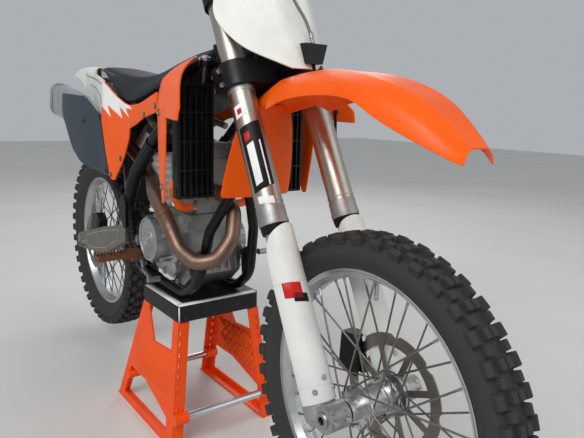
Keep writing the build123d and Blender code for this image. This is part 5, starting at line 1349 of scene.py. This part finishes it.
def stand_turn(hand, slant=0.0):
    """The directions of a stand side: along, out and down, turned in its own plane"""
    out = Vector((0, hand * math.cos(STAND_LEAN), math.sin(STAND_LEAN)))
    along = Matrix.Rotation(slant, 3, out) @ Vector((1, 0, 0))
    return Matrix((along, out, along.cross(out))).transposed()


def spine_guard(ribbed, hand):
    """Add one long ribbed guard along the frame's spine"""
    rows = []
    path = [Vector((x, hand * y, z)) for x, y, z in SPINE]
    for number, (at, along) in enumerate(bent(path, SPINE_BENDS)):
        side = along.cross(ACROSS).normalized()
        radius = 0.0205 if number % 4 < 2 else 0.0192
        rows.append([at + (side * math.cos(turn) + ACROSS * math.sin(turn)) * radius
                     for turn in (math.tau * part / 20 for part in range(20))])
    skin(ribbed, rows, closed=True)


def arm_line(arm, hand):
    """Add the raised line round one side of the swingarm"""
    for (x, z), (next_x, next_z) in zip(ARM_LINE, (*ARM_LINE[1:], ARM_LINE[0])):
        run = Vector((next_x - x, 0, next_z - z))
        at = ((x + next_x) / 2, hand * 0.1143, (z + next_z) / 2)
        turn = Matrix.Rotation(-math.atan2(run.z, run.x), 3, "Y")
        block(arm, at, turn, (run.length + 0.002, 0.0022, 0.0030), 1.0, 0.0006)


def chain_adjuster(metal, hand):
    """Add one side's axle plate with its marks, its adjuster block and bolt, and the pivot's bolt"""
    block(metal, (-0.750, hand * 0.1146, 0.4005), STILL, (0.082, 0.0026, 0.040), 1.0, 0.002)
    block(metal, (-0.812, hand * 0.099, 0.400), STILL, (0.020, 0.026, 0.036), 0.94, 0.002)
    bolt(metal, (-0.822, hand * 0.099, 0.400), -AHEAD, 0.0055, 0.010, 1.5)
    for number in range(7):
        block(metal, (-0.722 - number * 0.009, hand * 0.1162, 0.4160), STILL, (0.0010, 0.0012, 0.0040))
    bolt(metal, (-0.185, hand * 0.1140, 0.520), ACROSS * hand, 0.012, 0.006, 1.4)


FOOTPEG_TEETH = (
    # how many, first place across, pitch, places along the bike, height, size
    (10, 0.152, 0.0098, (-0.2030, -0.1585), 0.4885, (0.0050, 0.0066, 0.0075)),
    (5, 0.160, 0.019, (-0.192, -0.170), 0.4875, (0.0050, 0.0060, 0.0060)),
)


class MOTOCROSS_OT_frame_trims(bpy.types.Operator):
    """Make the ribbed frame guards, the swingarm's lines and adjusters and the footpegs' teeth"""
    bl_idname = "motocross.frame_trims"
    bl_label = "Frame details"

    def execute(self, context):
        ribbed, arm, metal, teeth = (bmesh.new() for part in range(4))
        for hand in HANDS:
            spine_guard(ribbed, hand)
            arm_line(arm, hand)
            chain_adjuster(metal, hand)
            for count, first, pitch, places, z, size in FOOTPEG_TEETH:
                for number in range(count):
                    for x in places:
                        block(teeth, (x, hand * (first + number * pitch), z), STILL, size, 0.45)
        put("spine_guards", ribbed, "moulded_black", "chassis", 0)
        put("swingarm_lines", arm, "cast_alloy", "chassis")
        put("chain_adjusters", metal, "plain_steel", "chassis")
        put("footpeg_teeth", teeth, "rusty_steel", "chassis")
        return {"FINISHED"}


def top_lattice(lattice):
    """Add the fine grid of bars on the stand's top"""
    for number in range(15):
        block(lattice, (0.0080, -0.0560 + number * 0.008, 0.3986), STILL, (0.2000, 0.0022, 0.0020))
    for number in range(19):
        block(lattice, (-0.0910 + number * 0.011, 0, 0.3984), STILL, (0.0026, 0.1160, 0.0017))


def side_ribs(ribs, hand):
    """Add one stand side's ribs: a comb with two rails outside, and two rows of diamonds inside"""
    for number in range(13):
        block(ribs, on_stand(hand, -0.096 + number * 0.0165, 0.1650, 0.0004), stand_turn(hand),
              (0.0022, 0.0016, 0.1180), 1.0, 0.0003)
    for down in (0.1030, 0.2260):
        block(ribs, on_stand(hand, 0.0100, down, 0.0004), stand_turn(hand), (0.2060, 0.0020, 0.0030), 1.0,
              0.0004)
    for number in range(7):
        for lean in (-45, 45):
            for down in (0.1350, 0.1930):
                block(ribs, on_stand(hand, -0.078 + number * 0.0270, down, -0.0082),
                      stand_turn(hand, math.radians(lean)), (0.0780, 0.0070, 0.0028), 1.0, 0.0004)


class MOTOCROSS_OT_stand_trims(bpy.types.Operator):
    """Make the stand's white edge stripe, the lattice on its top and the ribs of its sides"""
    bl_idname = "motocross.stand_trims"
    bl_label = "Stand details"

    def execute(self, context):
        stripe, lattice, ribs = bmesh.new(), bmesh.new(), bmesh.new()
        block(stripe, (0.0080, -0.1160, 0.3979), STILL, (0.2220, 0.0220, 0.0006))
        block(stripe, (0.1180, 0, 0.3980), STILL, (0.0220, 0.2480, 0.0006))
        top_lattice(lattice)
        for hand in HANDS:
            corner = Matrix.Rotation(math.radians(45 * hand), 3, "Z")
            block(stripe, (0.1280, hand * 0.1260, 0.3752), corner, (0.0006, 0.0034, 0.0430))
            side_ribs(ribs, hand)
        put("stand_stripe", stripe, "white_vinyl", "chassis", 0)
        put("stand_lattice", lattice, "stand_black_plastic", "chassis", 0)
        put("stand_ribs", ribs, "stand_plastic", "chassis", 0)
        return {"FINISHED"}


FILM_LIFT = 0.0024
PANEL_FLASH = millimetres(((-345, 1003), (-259, 954.5), (-207, 935), (-166, 928), (-146, 918), (-196, 921),
                           (-172, 894), (-240, 924), (-224, 890), (-318, 930), (-298, 892), (-352, 925)))
TAIL_LINES = (
    millimetres(((-620, 1034), (-520, 1021), (-430, 1009), (-370, 996), (-372, 991), (-431, 1004),
                 (-521, 1016), (-620, 1029))),
    millimetres(((-560, 1000), (-470, 985), (-400, 962), (-390, 935), (-394, 935), (-404, 958), (-471, 981),
                 (-560, 996))),
)
PANEL_BOLTS = (
    # plan, places, lift from the plan, the washer's foot, height and edge, whether a bolt's head shows
    (PANEL_PLAN, millimetres(((-312, 712), (-246, 768), (-60, 905), (28, 930))), 0.0018,
     (0.0085, 0.0010, 0.0080), True),
    (PLATE_PLAN, millimetres(((-475, 875), (-340, 722))), 0.0020, (0.0075, 0.0012, 0.0068), False),
    (LEG_PLAN, millimetres(((205, 914), (228, 742))), 0.0020, (0.0085, 0.0010, 0.0080), True),
)
GRIP_RIBS = 16


def lifted(plan):
    """A panel's plan moved out to the face that carries a film"""
    return [(x, y + FILM_LIFT) for x, y in plan]


def panel_bolts(washers, bolts, hand):
    """Add one side's washers and bolts of the body panels"""
    for plan, places, lift, (foot, height, edge), headed in PANEL_BOLTS:
        for x, z in places:
            at = Vector((x, hand * (between(plan, x) + lift), z))
            turned(washers, at, ACROSS * hand, ((0, foot), (height, edge)), 20)
            if headed:
                bolt(bolts, at + ACROSS * hand * 0.001, ACROSS * hand, 0.0046, 0.0042, 1.3)


def grip_ribs(ribs, hand):
    """Add the raised rings of one grip"""
    inner, outer = at_fork(0.003, hand * 0.215, 1.062), at_fork(-0.058, hand * 0.400, 1.082)
    along = (outer - inner).normalized()
    for number in range(GRIP_RIBS):
        band(ribs, inner + along * (0.094 + 0.0058 * number), along, -0.0012, 0.0012, 0.0158, 0.0166, 24)


class MOTOCROSS_OT_body_trims(bpy.types.Operator):
    """Make the plain graphics and the bolts of the body panels and the ribs of the grips"""
    bl_idname = "motocross.body_trims"
    bl_label = "Body details"

    def execute(self, context):
        flash, lines, bolts, washers, ribs = (bmesh.new() for part in range(5))
        panel(flash, PANEL_FLASH, lifted(PANEL_PLAN), 0)
        thicken(put("panel_flash", flash, "white_vinyl", "chassis"), *FILM)
        for outline in TAIL_LINES:
            panel(lines, outline, lifted(WING_PLAN), 0)
        thicken(put("tail_lines", lines, "grey_vinyl", "chassis"), *FILM)
        for hand in HANDS:
            panel_bolts(washers, bolts, hand)
            grip_ribs(ribs, hand)
        put("panel_bolts", bolts, "zinc_steel", "chassis")
        put("panel_washers", washers, "moulded_black", "chassis")
        put("grip_ribs", ribs, "grip_rubber", "steering")
        return {"FINISHED"}


# Camera: the photograph's view, found from the wheels' centres and the bike's outline
CAMERA_AZIMUTH = 0.92405
CAMERA_ELEVATION = 0.18778
CAMERA_ROLL = 0.0275
CAMERA_AT = (1.4779, -0.7713, 0.9269)


FLOOR_HALF = 14
SKY = "#e2e7ec"
SKY_STRENGTH = 0.54
LAMPS = (
    # name, place, what it points at, side of its square, power in watts
    ("key", (2.2, -3.4, 4.2), (0, 0, 0.5), 3.0, 160),
    ("fill", (3.8, 2.2, 2.4), (0.2, 0, 0.5), 3.5, 36),
    ("back", (-3.2, 2.6, 3.4), (0, 0, 0.6), 2.5, 50),
)


def painted_floor(pale):
    """Matt floor paint: pale, with broad faint patches"""
    made, tree, shader, place = material("painted_floor", {"Roughness": 0.75})
    broad = add_node(tree, "ShaderNodeTexNoise", {"Scale": 1.5, "Detail": 4.0}, {"Vector": place})
    tint = add_node(tree, "ShaderNodeValToRGB", links={"Fac": broad.outputs["Fac"]},
                    stops=((0.3, toned(pale, 0.96)), (0.7, toned(pale, 1.03))))
    tree.links.new(tint.outputs["Color"], shader.inputs["Base Color"])
    return made


def soft_light(name, at, aim, size, power):
    """A square lamp at a place, pointed at another"""
    lamp = bpy.data.lights.new(name, "AREA")
    lamp.size = size
    lamp.energy = power
    light = bpy.data.objects.new(name, lamp)
    light.location = at
    light.rotation_mode = "QUATERNION"
    light.rotation_quaternion = (Vector(aim) - Vector(at)).to_track_quat("-Z", "Y")
    return light


class MOTOCROSS_OT_stage(bpy.types.Operator):
    """Make the floor, the soft lights and the camera at the photograph's view"""
    bl_idname = "motocross.stage"
    bl_label = "Stage"

    def execute(self, context):
        scene = context.scene
        sheet = bmesh.new()
        bmesh.ops.create_grid(sheet, x_segments=1, y_segments=1, size=FLOOR_HALF)
        mesh = bpy.data.meshes.new("floor")
        sheet.to_mesh(mesh)
        sheet.free()
        mesh.materials.append(painted_floor(scene.motocross_colours.floor))
        floor = bpy.data.objects.new("floor", mesh)
        scene.collection.objects.link(floor)

        world = bpy.data.worlds.new("studio")
        world.use_nodes = True
        background = world.node_tree.nodes["Background"]
        background.inputs["Color"].default_value = (*linear(SKY), 1)
        background.inputs["Strength"].default_value = SKY_STRENGTH
        scene.world = world
        for lamp in LAMPS:
            scene.collection.objects.link(soft_light(*lamp))

        eye = bpy.data.cameras.new("camera")
        eye.sensor_width = 36
        eye.lens = scene.motocross_sizes.lens
        camera = bpy.data.objects.new("camera", eye)
        turn = Matrix.Rotation(CAMERA_AZIMUTH, 4, "Z")
        rise = Matrix.Rotation(math.pi / 2 - CAMERA_ELEVATION, 4, "X")
        roll = Matrix.Rotation(CAMERA_ROLL, 4, "Z")
        camera.matrix_world = Matrix.Translation(CAMERA_AT) @ turn @ rise @ roll
        scene.collection.objects.link(camera)
        scene.camera = camera
        scene.view_settings.view_transform = "Standard"
        return {"FINISHED"}


class MOTOCROSS_PT_panel(bpy.types.Panel):
    """Lists the bike's pieces, sizes and colours"""
    bl_idname = "MOTOCROSS_PT_panel"
    bl_label = "Motocross bike"
    bl_space_type = "VIEW_3D"
    bl_region_type = "UI"
    bl_category = "Motocross"

    def draw(self, context):
        for operator in OPERATORS:
            self.layout.operator(operator.bl_idname)
        for group in (context.scene.motocross_sizes, context.scene.motocross_colours):
            for name in group.bl_rna.properties.keys():
                if name not in ("rna_type", "name"):
                    self.layout.prop(group, name)


OPERATORS = (
    MOTOCROSS_OT_finishes,
    MOTOCROSS_OT_tyres,
    MOTOCROSS_OT_nipples,
    MOTOCROSS_OT_front_fender,
    MOTOCROSS_OT_front_plate,
    MOTOCROSS_OT_shrouds,
    MOTOCROSS_OT_side_panels,
    MOTOCROSS_OT_tail,
    MOTOCROSS_OT_seat,
    MOTOCROSS_OT_fork,
    MOTOCROSS_OT_brake_hose,
    MOTOCROSS_OT_wheel_parts,
    MOTOCROSS_OT_engine,
    MOTOCROSS_OT_cooling,
    MOTOCROSS_OT_exhaust,
    MOTOCROSS_OT_frame_trims,
    MOTOCROSS_OT_stand_trims,
    MOTOCROSS_OT_body_trims,
    MOTOCROSS_OT_stage,
)
CLASSES = (MotocrossColours, MotocrossSizes, *OPERATORS, MOTOCROSS_PT_panel)


def register():
    for made in CLASSES:
        bpy.utils.register_class(made)
    bpy.types.Scene.motocross_colours = PointerProperty(type=MotocrossColours)
    bpy.types.Scene.motocross_sizes = PointerProperty(type=MotocrossSizes)


def unregister():
    del bpy.types.Scene.motocross_sizes
    del bpy.types.Scene.motocross_colours
    for made in reversed(CLASSES):
        bpy.utils.unregister_class(made)


def main():
    register()
    for operator in OPERATORS:
        group, name = operator.bl_idname.split(".")
        getattr(getattr(bpy.ops, group), name)()


if __name__ == "__main__":
    main()
